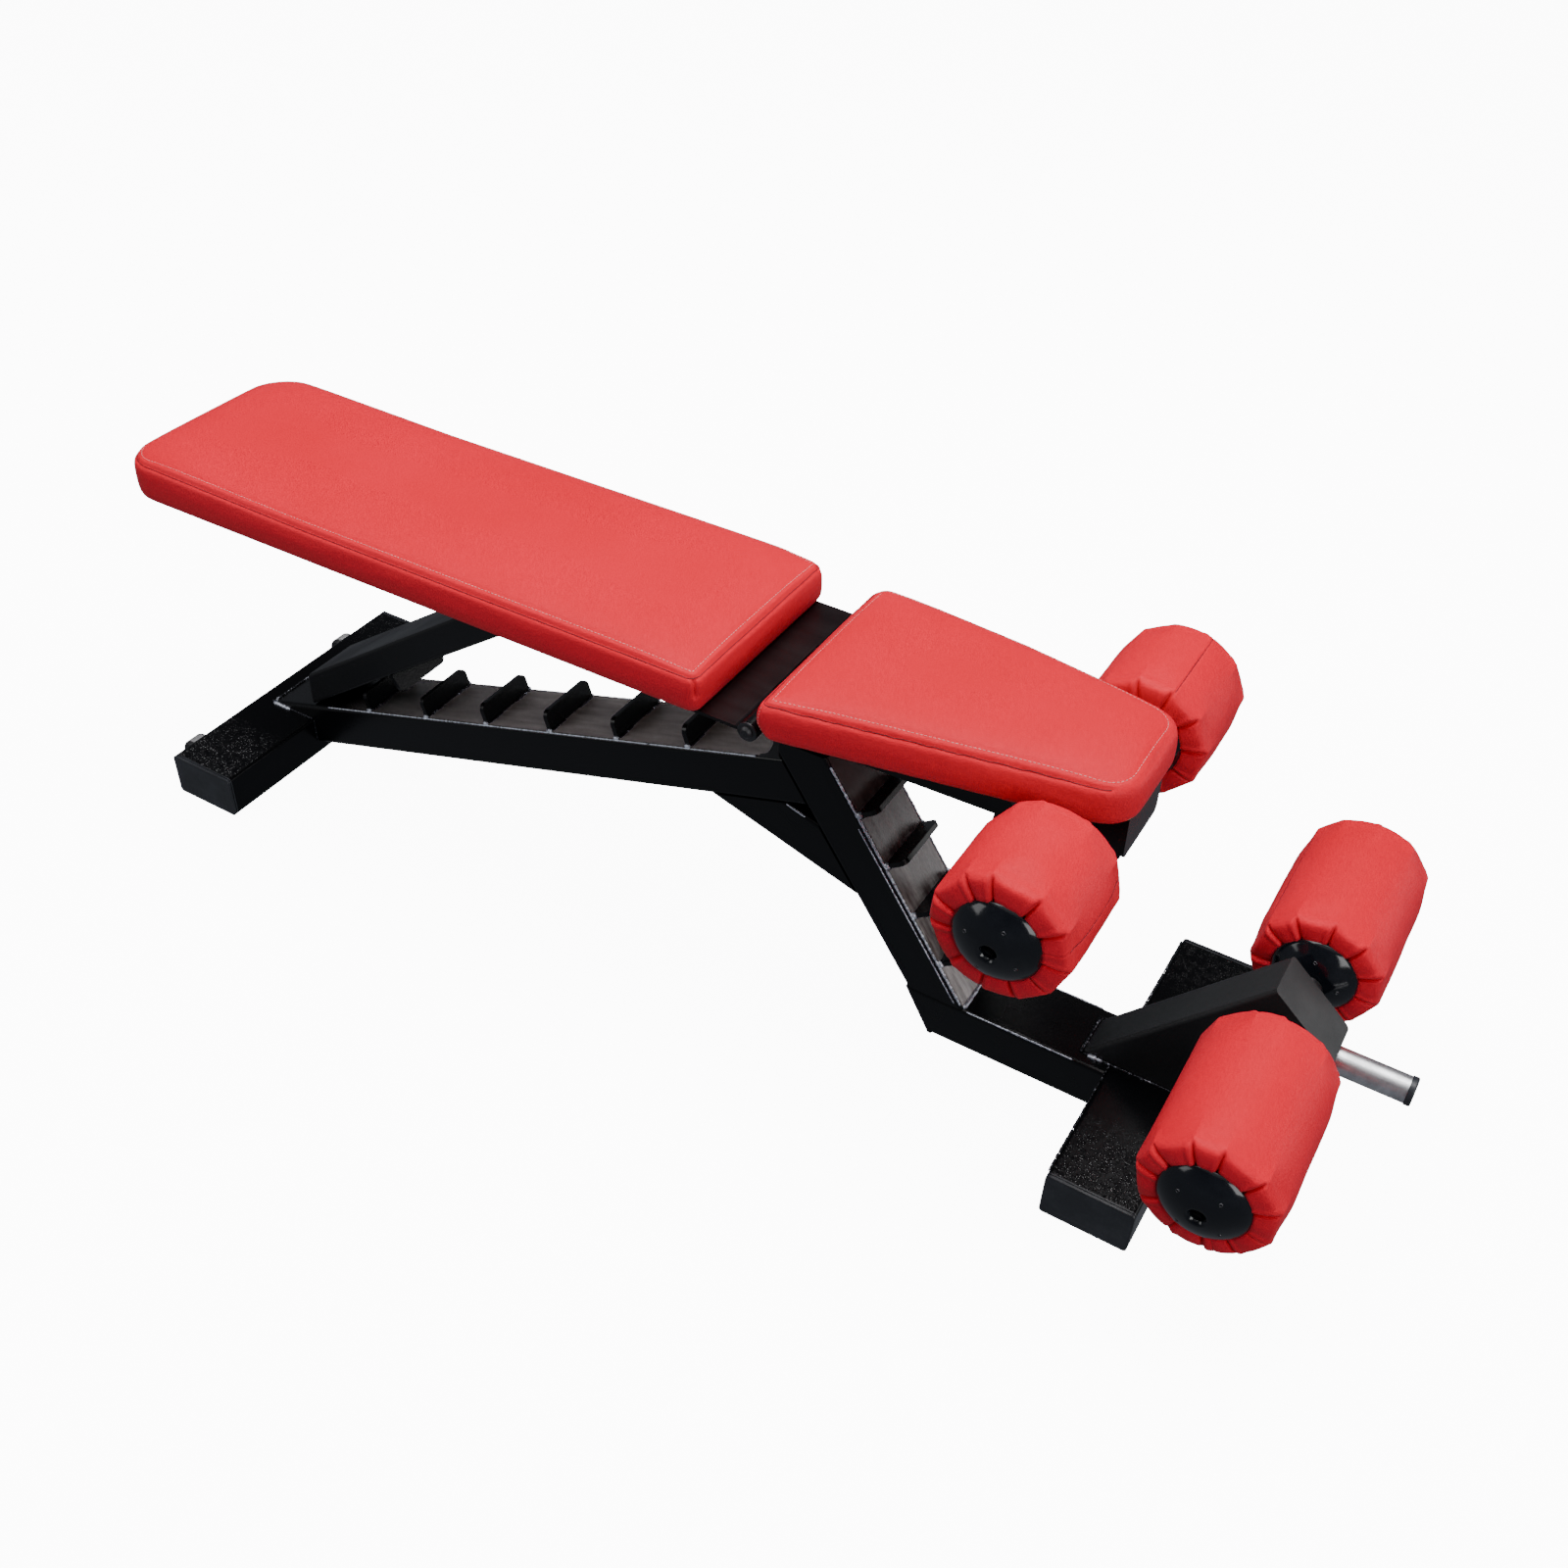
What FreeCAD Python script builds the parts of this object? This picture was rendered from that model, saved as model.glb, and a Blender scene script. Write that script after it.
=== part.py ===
import FreeCAD, Part
import math
import os

from FreeCAD import Vector

# Decline sit up bench. Millimetres. X runs from the back pad's end to the carry handle, Z is up,
# and the bench is symmetric about Y = 0. Positions along X are measured from the back face of the
# rear foot; save() then moves everything so that the origin is below the middle of the bench.

os.makedirs("parts", exist_ok=True)

# ---- driving dimensions -------------------------------------------------------------------
middle_x = 752.1            # from the rear foot's back face to the middle of the whole bench
foot_width = 100.0          # rectangular tube, 100 x 60, lying flat
foot_height = 60.0
foot_span = 414.0
foot_cap_face = 3.0         # end cap: face, groove, lip, then a plug inside the tube
foot_cap_groove = 1.2
foot_cap_lip = 1.8
foot_cap_plug = 16.0
foot_cap_head = foot_cap_face + foot_cap_groove + foot_cap_lip
front_foot_x = 1267.0
wall = 3.0
corner = 5.0                # outside corner radius of the rectangular tubes

spine_width = 94.0
spine_depth = 60.0
rear_slope = 0.32           # rise of the rear spine tube per unit of X
rear_top_at_zero = 51.3     # height of its top face at X = 0
steep_lean = 0.70           # how far the steep tube's front face goes back per unit of height
steep_front_at_zero = 1134.3
steep_top = 344.0
low_end_top_x = 1018.0
low_end_bottom_x = 1052.5
brace_slope = -0.3077
brace_start = (745.9, 227.9)    # lower back corner of the brace, on the rear tube's underside

stop_thick = 6.0
stop_height = 26.0
stop_width = 86.0
stop_corner = 9.0           # radius of a stop's upper corners
back_stop_first_x = 206.6
back_stop_pitch_x = 101.1
back_stop_count = 6
seat_stop_first_z = 112.7
seat_stop_pitch_z = 56.1
seat_stop_count = 4

pivot_x = 840.6             # both pads turn about this line
pivot_z = 411.8
pivot_pin_r = 8.0
sleeve_r = 12.0
running = 0.05              # radial running clearance
hinge_half_width = 125.0
ear_inner = 41.0
ear_thick = 6.0
ear_r = 12.0
ear_strip = 6.0             # width of the ear beside the steep tube's upper end
ear_heel_x = 808.0          # where the ear's rear edge runs out onto the rear tube
ear_flare = 32.0            # height of the curve there

post_foot_x = 1232.7        # where the post's upper face meets the top of the feet
post_angle = 48.93
post_width = 59.0
post_depth = 100.0
post_length = 270.2         # along its upper face
post_plate = 4.0
handle_r = 15.0
handle_z = 177.3
handle_end_x = 1560.0
handle_cap_x = 1567.0

axle_r = 12.5
axle_mid_r = 16.0
lower_axle_x = 1431.8
lower_axle_z = 209.8
lower_roller_r = 71.5
lower_roller_in = 72.0
lower_roller_out = 270.0
upper_axle_x = 1184.0
upper_axle_z = 393.5
upper_roller_r = 73.0
upper_roller_in = 112.0
upper_roller_out = 244.0
core_r = 40.0
disc_r = 46.5
disc_rim = 2.0
dome_height = 20.0
dome_boss = 9.0             # depth of material round the hole of an outer disc
recess_depth = 3.0          # countersink in the middle of an outer disc
sleeve_shoulder = 13.0      # radius at the ends of the foam sleeves

pad_thick = 47.0
pad_top_round = 6.0
board_thick = 12.0
board_inset = 12.0
back_pad_rear_x = -60.0
back_pad_front_x = 787.0
back_pad_half = 140.0
back_under_z = 414.0        # underside of the back pad at its front end
back_tilt = 0.56            # the back pad's head end is lower by this angle
back_head_round = 30.0      # corner radii in plan
back_front_round = 9.0
seat_rear_x = 856.0
seat_front_x = 1248.0
seat_rear_half = 135.0
seat_front_half = 74.0
seat_under_z = 411.0
seat_tilt = 1.8             # the seat's front end is higher by this angle
seat_rear_round = 8.0
seat_front_round = 36.0
board_round = 4.0           # a board's corner radius is this much less than its pad's
back_screw_x = (130.0, 330.0, 560.0, 735.0)
seat_screw_x = (920.0, 1040.0, 1140.0, 1215.0)
pad_screw_r = 3.0
pad_screw_grip = 9.0        # length of a screw inside the board
pad_screw_head_r = 6.5
pad_screw_head = 3.5

rail_inner = 51.0
rail_width = 30.0
rail_height = 20.0
rail_rear_x = 90.0
rail_front_x = 762.0
hinge_plate_thick = 4.0
hinge_plate_drop = 1.8      # from the back pad's underside to the top of the hinge plate
ear_gap = 4.0               # between the hinge plate and the ears behind it

back_prop_x = 505.0         # pin of the prop under the back pad
back_prop_z = 397.2
back_prop_angle = 35.5
back_prop_tail_x = 101.0
prop_width = 86.0
prop_depth = 40.0
prop_pin_r = 6.0
pin_end_gap = 8.0           # the back prop's tube stops this far short of its pin
lug_thick = 6.0
lug_half_height = 11.0
lug_half_top = 24.0
lug_half_bottom = 11.0
lock_along = 322.0          # from the pin down to the cross bar under the back prop

channel_wall = 4.0
channel_depth = 57.0
channel_rear = 14.0         # from the seat pad's back edge
channel_length = 358.0
seat_prop_x = 1114.8
seat_prop_z = 386.0
seat_prop_width = 84.0

wheel_x = -24.0
wheel_z = 19.5
wheel_r = 18.0
wheel_half = 14.0
wheel_y = 145.0
wheel_bolt_r = 4.0
wheel_ear_thick = 4.0
wheel_ear_r = 10.0
wheel_nut_across = 13.0
wheel_nut_thick = 7.0

Y_AXIS = Vector(0, 1, 0)
REACH = 700.0


# ---- shape helpers ------------------------------------------------------------------------
def save(name, shape):
    moved = shape.copy()
    moved.translate(Vector(-middle_x, 0, 0))
    moved.exportStep("parts/" + name + ".step")


def group(solids):
    return Part.makeCompound(solids)


def fuse(first, *others):
    for other in others:
        first = first.fuse(other)
    return first.removeSplitter()


def profile_prism(points, y_low, y_high):
    """A side-view outline in X and Z, given thickness along Y."""
    corners = [Vector(x, y_low, z) for x, z in points]
    wire = Part.makePolygon(corners + corners[:1])
    return Part.Face(wire).extrude(Vector(0, y_high - y_low, 0))


def plan_prism(points, z_low, z_high):
    """A plan-view outline in X and Y, given thickness along Z."""
    corners = [Vector(x, y, z_low) for x, y in points]
    wire = Part.makePolygon(corners + corners[:1])
    return Part.Face(wire).extrude(Vector(0, 0, z_high - z_low))


def edges_along(shape, direction):
    found = []
    for edge in shape.Edges:
        if edge.Curve.TypeId != "Part::GeomLine":
            continue
        if abs(abs(edge.tangentAt(edge.FirstParameter).dot(direction)) - 1.0) < 1e-6:
            found.append(edge)
    return found


def bar(length, width, depth, radius):
    """A bar along +X, centred in Y, standing on Z = 0, with rounded long edges."""
    block = Part.makeBox(length, width, depth, Vector(0, -width / 2, 0))
    return block.makeFillet(radius, edges_along(block, Vector(1, 0, 0)))


def hollow_bar(length, width, depth, thickness=wall, radius=corner):
    outer = bar(length, width, depth, radius)
    inner = bar(length, width - 2 * thickness, depth - 2 * thickness, max(radius - thickness, 0.8))
    inner.translate(Vector(0, 0, thickness))
    return outer.cut(inner)


def lay(shape, x, z, rise_degrees):
    """Turn a part made along +X up by rise_degrees, and put its origin at X, Z."""
    laid = shape.copy()
    laid.rotate(Vector(0, 0, 0), Y_AXIS, -rise_degrees)
    laid.translate(Vector(x, 0, z))
    return laid


def cross_rod(x, z, radius, y_low, y_high):
    return Part.makeCylinder(radius, y_high - y_low, Vector(x, y_low, z), Y_AXIS)


def cross_tube(x, z, outer_r, inner_r, y_low, y_high):
    return cross_rod(x, z, outer_r, y_low, y_high).cut(cross_rod(x, z, inner_r, y_low, y_high))


def turned(points, x, z, side):
    """Revolve an outline of (radius, distance along Y) about the line X, Z; side is +1 or -1."""
    corners = [Vector(x + r, side * y, z) for r, y in points]
    wire = Part.makePolygon(corners + corners[:1])
    return Part.Face(wire).revolve(Vector(x, 0, z), Y_AXIS, 360)


# ---- lines of the frame -------------------------------------------------------------------
rear_angle = math.degrees(math.atan(rear_slope))
steep_angle = 90.0 + math.degrees(math.atan(steep_lean))
brace_angle = math.degrees(math.atan(brace_slope))
rear_drop = spine_depth / math.cos(math.radians(rear_angle))
steep_run = spine_depth / math.sin(math.radians(steep_angle))
steep_rear_at_zero = steep_front_at_zero - steep_run


def rear_top(x):
    return rear_top_at_zero + rear_slope * x


def rear_bottom(x):
    return rear_top(x) - rear_drop


def steep_front(z):
    return steep_front_at_zero - steep_lean * z


def steep_rear(z):
    return steep_rear_at_zero - steep_lean * z


# ---- feet ---------------------------------------------------------------------------------
def foot_tube(x):
    length = foot_span - 2 * foot_cap_head
    tube = hollow_bar(length, foot_width, foot_height)
    tube.rotate(Vector(0, 0, 0), Vector(0, 0, 1), 90)
    tube.translate(Vector(x + foot_width / 2, -length / 2, 0))
    return tube


def foot_cap(x, side):
    """A push-in plastic cap: face, groove, second lip and a plug inside the tube."""
    plug_inset = wall + 0.2
    layers = [(foot_cap_face, 0.0), (foot_cap_groove, foot_cap_groove), (foot_cap_lip, 0.0),
              (foot_cap_plug, plug_inset)]
    solids = []
    start = 0.0
    for thickness, inset in layers:
        layer = bar(thickness, foot_width - 2 * inset, foot_height - 2 * inset, corner - min(inset, 3))
        layer.translate(Vector(start, 0, inset))
        solids.append(layer)
        start += thickness
    cap = fuse(*solids)
    cap.rotate(Vector(0, 0, 0), Vector(0, 0, 1), -90 * side)
    cap.translate(Vector(x + foot_width / 2, side * foot_span / 2, 0))
    return cap


rear_foot = foot_tube(0.0)
front_foot = foot_tube(front_foot_x)
save("rear_foot_tube", rear_foot)
save("front_foot_tube", front_foot)
save("foot_end_caps", group([foot_cap(x, s) for x in (0.0, front_foot_x) for s in (-1, 1)]))

# ---- spine --------------------------------------------------------------------------------
low_line = -10.0
high_line = 420.0
rear_region = [(0, foot_height), (foot_width, foot_height), (foot_width, low_line),
               (steep_rear(low_line), low_line), (steep_rear(high_line), high_line), (0, high_line)]
rear_tube = lay(hollow_bar(1200, spine_width, spine_depth), -100, rear_bottom(-100), rear_angle)
rear_tube = rear_tube.common(profile_prism(rear_region, -REACH, REACH))
save("rear_spine_tube", rear_tube)

# The steep tube's upper end is closed on top and behind, between the ears.
neck_x = pivot_x - ear_r + ear_strip
steep_bar = lay(bar(600, spine_width, spine_depth, corner), steep_front(0), 0, steep_angle)
steep_bar = steep_bar.common(Part.makeBox(REACH, 2 * REACH, steep_top - foot_height,
                                          Vector(neck_x, -REACH, foot_height)))
bore = bar(600, spine_width - 2 * wall, spine_depth - 2 * wall, corner - wall)
bore.translate(Vector(0, 0, wall))
bore = lay(bore, steep_front(0), 0, steep_angle)
bore = bore.common(Part.makeBox(REACH, 2 * REACH, steep_top - wall,
                                Vector(neck_x + wall, -REACH, 0)))
save("steep_spine_tube", steep_bar.cut(bore))

end_plate_run = 4.6
low_region = [(low_end_top_x + end_plate_run, foot_height), (low_end_bottom_x + end_plate_run, 0),
              (front_foot_x, 0), (front_foot_x, foot_height)]
low_tube = lay(hollow_bar(400, spine_width, spine_depth), 950, 0, 0)
save("low_spine_tube", low_tube.common(profile_prism(low_region, -REACH, REACH)))
end_plate = profile_prism([(low_end_top_x, foot_height), (low_end_bottom_x, 0),
                           (low_end_bottom_x + end_plate_run, 0),
                           (low_end_top_x + end_plate_run, foot_height)],
                          -spine_width / 2, spine_width / 2)
save("spine_end_plate", end_plate)

meet_z = (rear_top_at_zero - rear_drop + rear_slope * steep_rear_at_zero) / (1 + rear_slope * steep_lean)
brace_region = [(600, rear_bottom(600)), (steep_rear(meet_z), meet_z),
                (steep_rear(low_line), low_line), (600, low_line)]
brace_tube = lay(hollow_bar(500, spine_width, spine_depth), brace_start[0] - 200,
                 brace_start[1] - 200 * brace_slope, brace_angle)
save("spine_brace_tube", brace_tube.common(profile_prism(brace_region, -REACH, REACH)))


# ---- ladders ------------------------------------------------------------------------------
def stop_plate(x, z, rise_degrees):
    """A flat bar standing square on a tube face, with its upper corners rounded."""
    plate = Part.makeBox(stop_thick, stop_width, stop_height, Vector(-stop_thick / 2, -stop_width / 2, 0))
    top = [e for e in edges_along(plate, Vector(1, 0, 0)) if e.CenterOfMass.z > stop_height / 2]
    return lay(plate.makeFillet(stop_corner, top), x, z, rise_degrees)


back_stops = []
for number in range(back_stop_count):
    x = back_stop_first_x + number * back_stop_pitch_x
    back_stops.append(stop_plate(x, rear_top(x), rear_angle))
save("back_ladder_stops", group(back_stops))

seat_stops = []
for number in range(seat_stop_count):
    z = seat_stop_first_z + number * seat_stop_pitch_z
    seat_stops.append(stop_plate(steep_front(z), z, steep_angle - 180))
save("seat_ladder_stops", group(seat_stops))


# ---- main pivot ---------------------------------------------------------------------------
def ear(side):
    """Plate from the top of the steep tube and the end of the rear tube up to the pivot."""
    back_x = pivot_x - ear_r
    front_x = pivot_x + ear_r
    join_x = (steep_rear_at_zero - steep_lean * rear_top_at_zero) / (1 + steep_lean * rear_slope)
    points = [(join_x, rear_top(join_x)), (neck_x, (steep_rear_at_zero - neck_x) / steep_lean),
              (neck_x, steep_top), (front_x, steep_top)]
    for step in range(7):
        turn = math.radians(30 * step)
        points.append((pivot_x + ear_r * math.cos(turn), pivot_z + ear_r * math.sin(turn)))
    for step in range(5):
        turn = math.radians(22.5 * step)
        x = back_x - (back_x - ear_heel_x) * (1 - math.cos(turn))
        points.append((x, rear_top(x) + ear_flare * (1 - math.sin(turn))))
    low, high = sorted((side * ear_inner, side * (ear_inner + ear_thick)))
    plate = profile_prism(points, low, high)
    return plate.cut(cross_rod(pivot_x, pivot_z, pivot_pin_r, -REACH, REACH))


save("pivot_ears", group([ear(-1), ear(1)]))
save("pivot_axle", cross_rod(pivot_x, pivot_z, pivot_pin_r, -hinge_half_width, hinge_half_width))

washer_thick = 2.0
washer_gap = 0.4
washer_r = sleeve_r - 0.5
screw_hole_r = 3.0
screw_head_r = 7.0
screw_head_top_r = 4.5
screw_rim = 1.5
screw_head = 4.0
washers = []
screws = []
for side in (-1, 1):
    start = hinge_half_width
    under = start + washer_gap
    head = under + washer_thick
    washers.append(turned([(screw_hole_r, under), (washer_r, under), (washer_r, head), (screw_hole_r, head)],
                          pivot_x, pivot_z, side))
    screws.append(turned([(0, start), (screw_hole_r, start), (screw_hole_r, head), (screw_head_r, head),
                          (screw_head_r, head + screw_rim), (screw_head_top_r, head + screw_head),
                          (0, head + screw_head)],
                         pivot_x, pivot_z, side))
save("pivot_washers", group(washers))
save("pivot_screws", group(screws))

# ---- front post, handle -------------------------------------------------------------------
post_rad = math.radians(post_angle)
post_run = post_depth / math.sin(post_rad)
post_spare = 200.0          # cut off again along the top of the feet
post = hollow_bar(post_length + post_spare - post_plate, post_width, post_depth)
post.translate(Vector(-post_spare, 0, -post_depth))
post = lay(post, post_foot_x, foot_height, post_angle)
above_feet = [(1100, foot_height), (1700, foot_height), (1700, 400), (1100, 400)]
post = post.common(profile_prism(above_feet, -REACH, REACH))
post = post.cut(cross_rod(lower_axle_x, lower_axle_z, axle_mid_r, -REACH, REACH))
save("front_post_tube", post)
post_cap = bar(post_plate, post_width, post_depth, corner)
post_cap.translate(Vector(post_length - post_plate, 0, -post_depth))
save("post_end_plate", lay(post_cap, post_foot_x, foot_height, post_angle))

in_front_of_post = [(post_foot_x + post_run, foot_height), (1700, foot_height), (1700, 600),
                    (post_foot_x + post_run + (600 - foot_height) / math.tan(post_rad), 600)]
handle_from = Vector(1400, 0, handle_z)
handle_length = handle_end_x - handle_from.x
handle = Part.makeCylinder(handle_r, handle_length, handle_from, Vector(1, 0, 0))
handle = handle.cut(Part.makeCylinder(handle_r - wall, handle_length, handle_from, Vector(1, 0, 0)))
save("handle_tube", handle.common(profile_prism(in_front_of_post, -REACH, REACH)))
cap_head = Part.makeCylinder(handle_r + 1.0, handle_cap_x - handle_end_x, Vector(handle_end_x, 0, handle_z),
                             Vector(1, 0, 0))
cap_head = cap_head.makeFillet(2.0, [e for e in cap_head.Edges if e.CenterOfMass.x > handle_cap_x - 0.1])
cap_plug_length = 20.0
cap_plug = Part.makeCylinder(handle_r - wall - 0.1, cap_plug_length,
                             Vector(handle_end_x - cap_plug_length, 0, handle_z), Vector(1, 0, 0))
save("handle_end_cap", fuse(cap_head, cap_plug))


# ---- rollers and their axles --------------------------------------------------------------
def roller_axle(x, z, shoulder, tip):
    """A bar whose thick middle goes through the frame and whose ends carry the rollers."""
    middle = cross_rod(x, z, axle_mid_r, -shoulder, shoulder)
    return fuse(middle, cross_rod(x, z, axle_r, -tip, tip))


def axle_screw(x, z, tip, side):
    """A socket head screw on a washer, in the recess of the outer disc."""
    washer_r = 15.5
    head_from = tip + 2.0
    head_r = 6.0
    head_to = tip + 6.0
    socket_r = 3.0
    socket_to = tip + 3.5
    return turned([(0, tip), (washer_r, tip), (washer_r, head_from), (head_r, head_from), (head_r, head_to),
                   (socket_r, head_to), (socket_r, socket_to), (0, socket_to)], x, z, side)


def roller_pad(x, z, radius, y_in, y_out, side):
    """The foam sleeve in its cover, with soft shoulders."""
    shoulder = sleeve_shoulder
    steps = 5
    points = [(core_r, y_in), (radius - shoulder, y_in)]
    for step in range(1, steps):
        turn = math.radians(90.0 * step / steps)
        points.append((radius - shoulder + shoulder * math.sin(turn), y_in + shoulder * (1 - math.cos(turn))))
    points.append((radius, y_in + shoulder))
    mirrored = [(r, y_in + y_out - y) for r, y in reversed(points)]
    return turned(points + mirrored, x, z, side)


def dome(x, z, foot_y, out, side, hole_r, recess_r):
    """A domed end disc. out is +1 when the dome faces away from the middle of the bench."""
    rise = (disc_r ** 2 + dome_height ** 2) / (2 * dome_height)
    flat_r = (13.0 if recess_r else hole_r) + 2.0
    steps = 8
    points = [(disc_r, foot_y), (disc_r, foot_y + out * disc_rim)]
    for step in range(1, steps + 1):
        r = disc_r - (disc_r - flat_r) * step / steps
        height = disc_rim + math.sqrt(rise ** 2 - r ** 2) - rise + dome_height
        points.append((r, foot_y + out * height))
    top = points[-1][1]
    if recess_r:
        points += [(hole_r + 2.0, top), (hole_r, top - out * recess_depth),
                   (hole_r, foot_y + out * dome_boss), (recess_r, foot_y + out * dome_boss),
                   (recess_r, foot_y)]
    else:
        points += [(hole_r, top), (hole_r, foot_y)]
    return turned(points, x, z, side)


rollers = [("lower_near", lower_axle_x, lower_axle_z, lower_roller_r, lower_roller_in, lower_roller_out, -1),
           ("lower_far", lower_axle_x, lower_axle_z, lower_roller_r, lower_roller_in, lower_roller_out, 1),
           ("upper_near", upper_axle_x, upper_axle_z, upper_roller_r, upper_roller_in, upper_roller_out, -1),
           ("upper_far", upper_axle_x, upper_axle_z, upper_roller_r, upper_roller_in, upper_roller_out, 1)]
tip_inset = 1.0
recess_hole_r = 7.5
recess_r = 19.0             # room behind the outer disc for the axle's end screw
for name, x, z, radius, y_in, y_out, side in rollers:
    core = turned([(axle_r + running, y_in), (core_r, y_in), (core_r, y_out), (axle_r + running, y_out)],
                  x, z, side)
    save(name + "_roller_core", core)
    save(name + "_roller_pad", roller_pad(x, z, radius, y_in, y_out, side))
    outer_disc = dome(x, z, y_out, 1, side, recess_hole_r, recess_r)
    inner_disc = dome(x, z, y_in, -1, side, axle_r + 0.6, 0)
    save(name + "_roller_discs", group([inner_disc, outer_disc]))

shoulder_gap = 22.8
save("lower_roller_axle", roller_axle(lower_axle_x, lower_axle_z, lower_roller_in - shoulder_gap,
                                      lower_roller_out + tip_inset))
save("lower_axle_screws", group([axle_screw(lower_axle_x, lower_axle_z, lower_roller_out + tip_inset, s)
                                 for s in (-1, 1)]))
save("upper_roller_axle", roller_axle(upper_axle_x, upper_axle_z, upper_roller_in - shoulder_gap,
                                      upper_roller_out + tip_inset))
save("upper_axle_screws", group([axle_screw(upper_axle_x, upper_axle_z, upper_roller_out + tip_inset, s)
                                 for s in (-1, 1)]))


# ---- transport wheels ---------------------------------------------------------------------
def wheel_ear(y):
    low = y - wheel_ear_thick / 2
    high = y + wheel_ear_thick / 2
    plate = Part.makeBox(-wheel_x, wheel_ear_thick, 2 * wheel_ear_r,
                         Vector(wheel_x, low, wheel_z - wheel_ear_r))
    plate = fuse(plate, cross_rod(wheel_x, wheel_z, wheel_ear_r, low, high))
    return plate.cut(cross_rod(wheel_x, wheel_z, wheel_bolt_r, -REACH, REACH))


def hexagon(across, y_low, y_high):
    points = []
    for k in range(6):
        turn = math.radians(60 * k)
        points.append((wheel_x + across / math.sqrt(3) * math.cos(turn),
                       wheel_z + across / math.sqrt(3) * math.sin(turn)))
    return profile_prism(points, y_low, y_high)


ears = []
bolts = []
nuts = []
ear_reach = wheel_half + 1.0 + wheel_ear_thick / 2
bolt_reach = ear_reach + wheel_ear_thick / 2
bolt_end = bolt_reach + wheel_nut_thick + 2.0
bolt_head = 5.5
for side, name in ((-1, "near_wheel"), (1, "far_wheel")):
    middle = side * wheel_y
    ears += [wheel_ear(middle - ear_reach), wheel_ear(middle + ear_reach)]
    shank = cross_rod(wheel_x, wheel_z, wheel_bolt_r, middle - bolt_end, middle + bolt_reach)
    head = hexagon(wheel_nut_across, middle + bolt_reach, middle + bolt_reach + bolt_head)
    bolts.append(fuse(shank, head))
    nut = hexagon(wheel_nut_across, middle - bolt_reach - wheel_nut_thick, middle - bolt_reach)
    nuts.append(nut.cut(cross_rod(wheel_x, wheel_z, wheel_bolt_r, -REACH, REACH)))
    tread = turned([(wheel_bolt_r + running, -wheel_half), (wheel_r - 3, -wheel_half),
                    (wheel_r - 1.2, -wheel_half + 1.5), (wheel_r, -wheel_half + 4),
                    (wheel_r, wheel_half - 4), (wheel_r - 1.2, wheel_half - 1.5),
                    (wheel_r - 3, wheel_half), (wheel_bolt_r + running, wheel_half)],
                   wheel_x, wheel_z, 1)
    tread.translate(Vector(0, middle, 0))
    save(name, tread)
save("wheel_brackets", group(ears))
save("wheel_bolts", group(bolts))
save("wheel_nuts", group(nuts))


# ---- back pad and its frame ---------------------------------------------------------------
def back_place(shape):
    """Level parts are made with the back pad's underside at Z = 0, then tilted about its front end."""
    placed = shape.copy()
    placed.rotate(Vector(back_pad_front_x, 0, 0), Y_AXIS, -back_tilt)
    placed.translate(Vector(0, 0, back_under_z))
    return placed


def seat_place(shape):
    placed = shape.copy()
    placed.rotate(Vector(seat_rear_x, 0, 0), Y_AXIS, -seat_tilt)
    placed.translate(Vector(0, 0, seat_under_z))
    return placed


def upright_edges(shape, x_test):
    return [e for e in edges_along(shape, Vector(0, 0, 1)) if x_test(e.CenterOfMass.x)]


def cushion(outline, low_r, high_r, split_x):
    """A plain cushion block with rounded corners, low_r on the side of lower X, and a soft top edge."""
    block = plan_prism(outline, 0, pad_thick)
    block = block.makeFillet(low_r, upright_edges(block, lambda x: x < split_x))
    block = block.makeFillet(high_r, upright_edges(block, lambda x: x > split_x))
    top_edges = [e for e in block.Edges if abs(e.BoundBox.ZMin - pad_thick) < 1e-6]
    return block.makeFillet(pad_top_round, top_edges)


def pad_screw(x, y, under_z, plate):
    """Shank and head of a screw that comes up through a plate, from under_z, into the board."""
    shank = Part.makeCylinder(pad_screw_r, plate + pad_screw_grip, Vector(x, y, under_z))
    head = Part.makeCylinder(pad_screw_head_r, pad_screw_head, Vector(x, y, under_z - pad_screw_head))
    return shank, fuse(shank, head)


back_outline = [(back_pad_rear_x, -back_pad_half), (back_pad_front_x, -back_pad_half),
                (back_pad_front_x, back_pad_half), (back_pad_rear_x, back_pad_half)]
back_split = (back_pad_rear_x + back_pad_front_x) / 2
back_block = cushion(back_outline, back_head_round, back_front_round, back_split)
inset = board_inset
back_board = plan_prism([(back_pad_rear_x + inset, -back_pad_half + inset),
                         (back_pad_front_x - inset, -back_pad_half + inset),
                         (back_pad_front_x - inset, back_pad_half - inset),
                         (back_pad_rear_x + inset, back_pad_half - inset)], 0, board_thick)
back_board = back_board.makeFillet(back_head_round - board_round,
                                   upright_edges(back_board, lambda x: x < back_split))
save("back_pad", back_place(back_block.cut(back_board)))

rails = []
back_screws = []
screw_holes = []
for side in (-1, 1):
    rail = hollow_bar(rail_front_x - rail_rear_x, rail_width, rail_height, 2.0, 2.5)
    rail.translate(Vector(rail_rear_x, side * (rail_inner + rail_width / 2), -rail_height))
    rails.append(rail)
    for x in back_screw_x:
        shank, screw = pad_screw(x, side * (rail_inner + rail_width / 2), -rail_height, rail_height)
        back_screws.append(screw)
        screw_holes.append(shank)
for hole in screw_holes:
    back_board = back_board.cut(hole)
    rails = [rail.cut(hole) for rail in rails]
save("back_board", back_place(back_board))
save("back_rails", group([back_place(rail) for rail in rails]))
save("back_pad_screws", group([back_place(screw) for screw in back_screws]))

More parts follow.
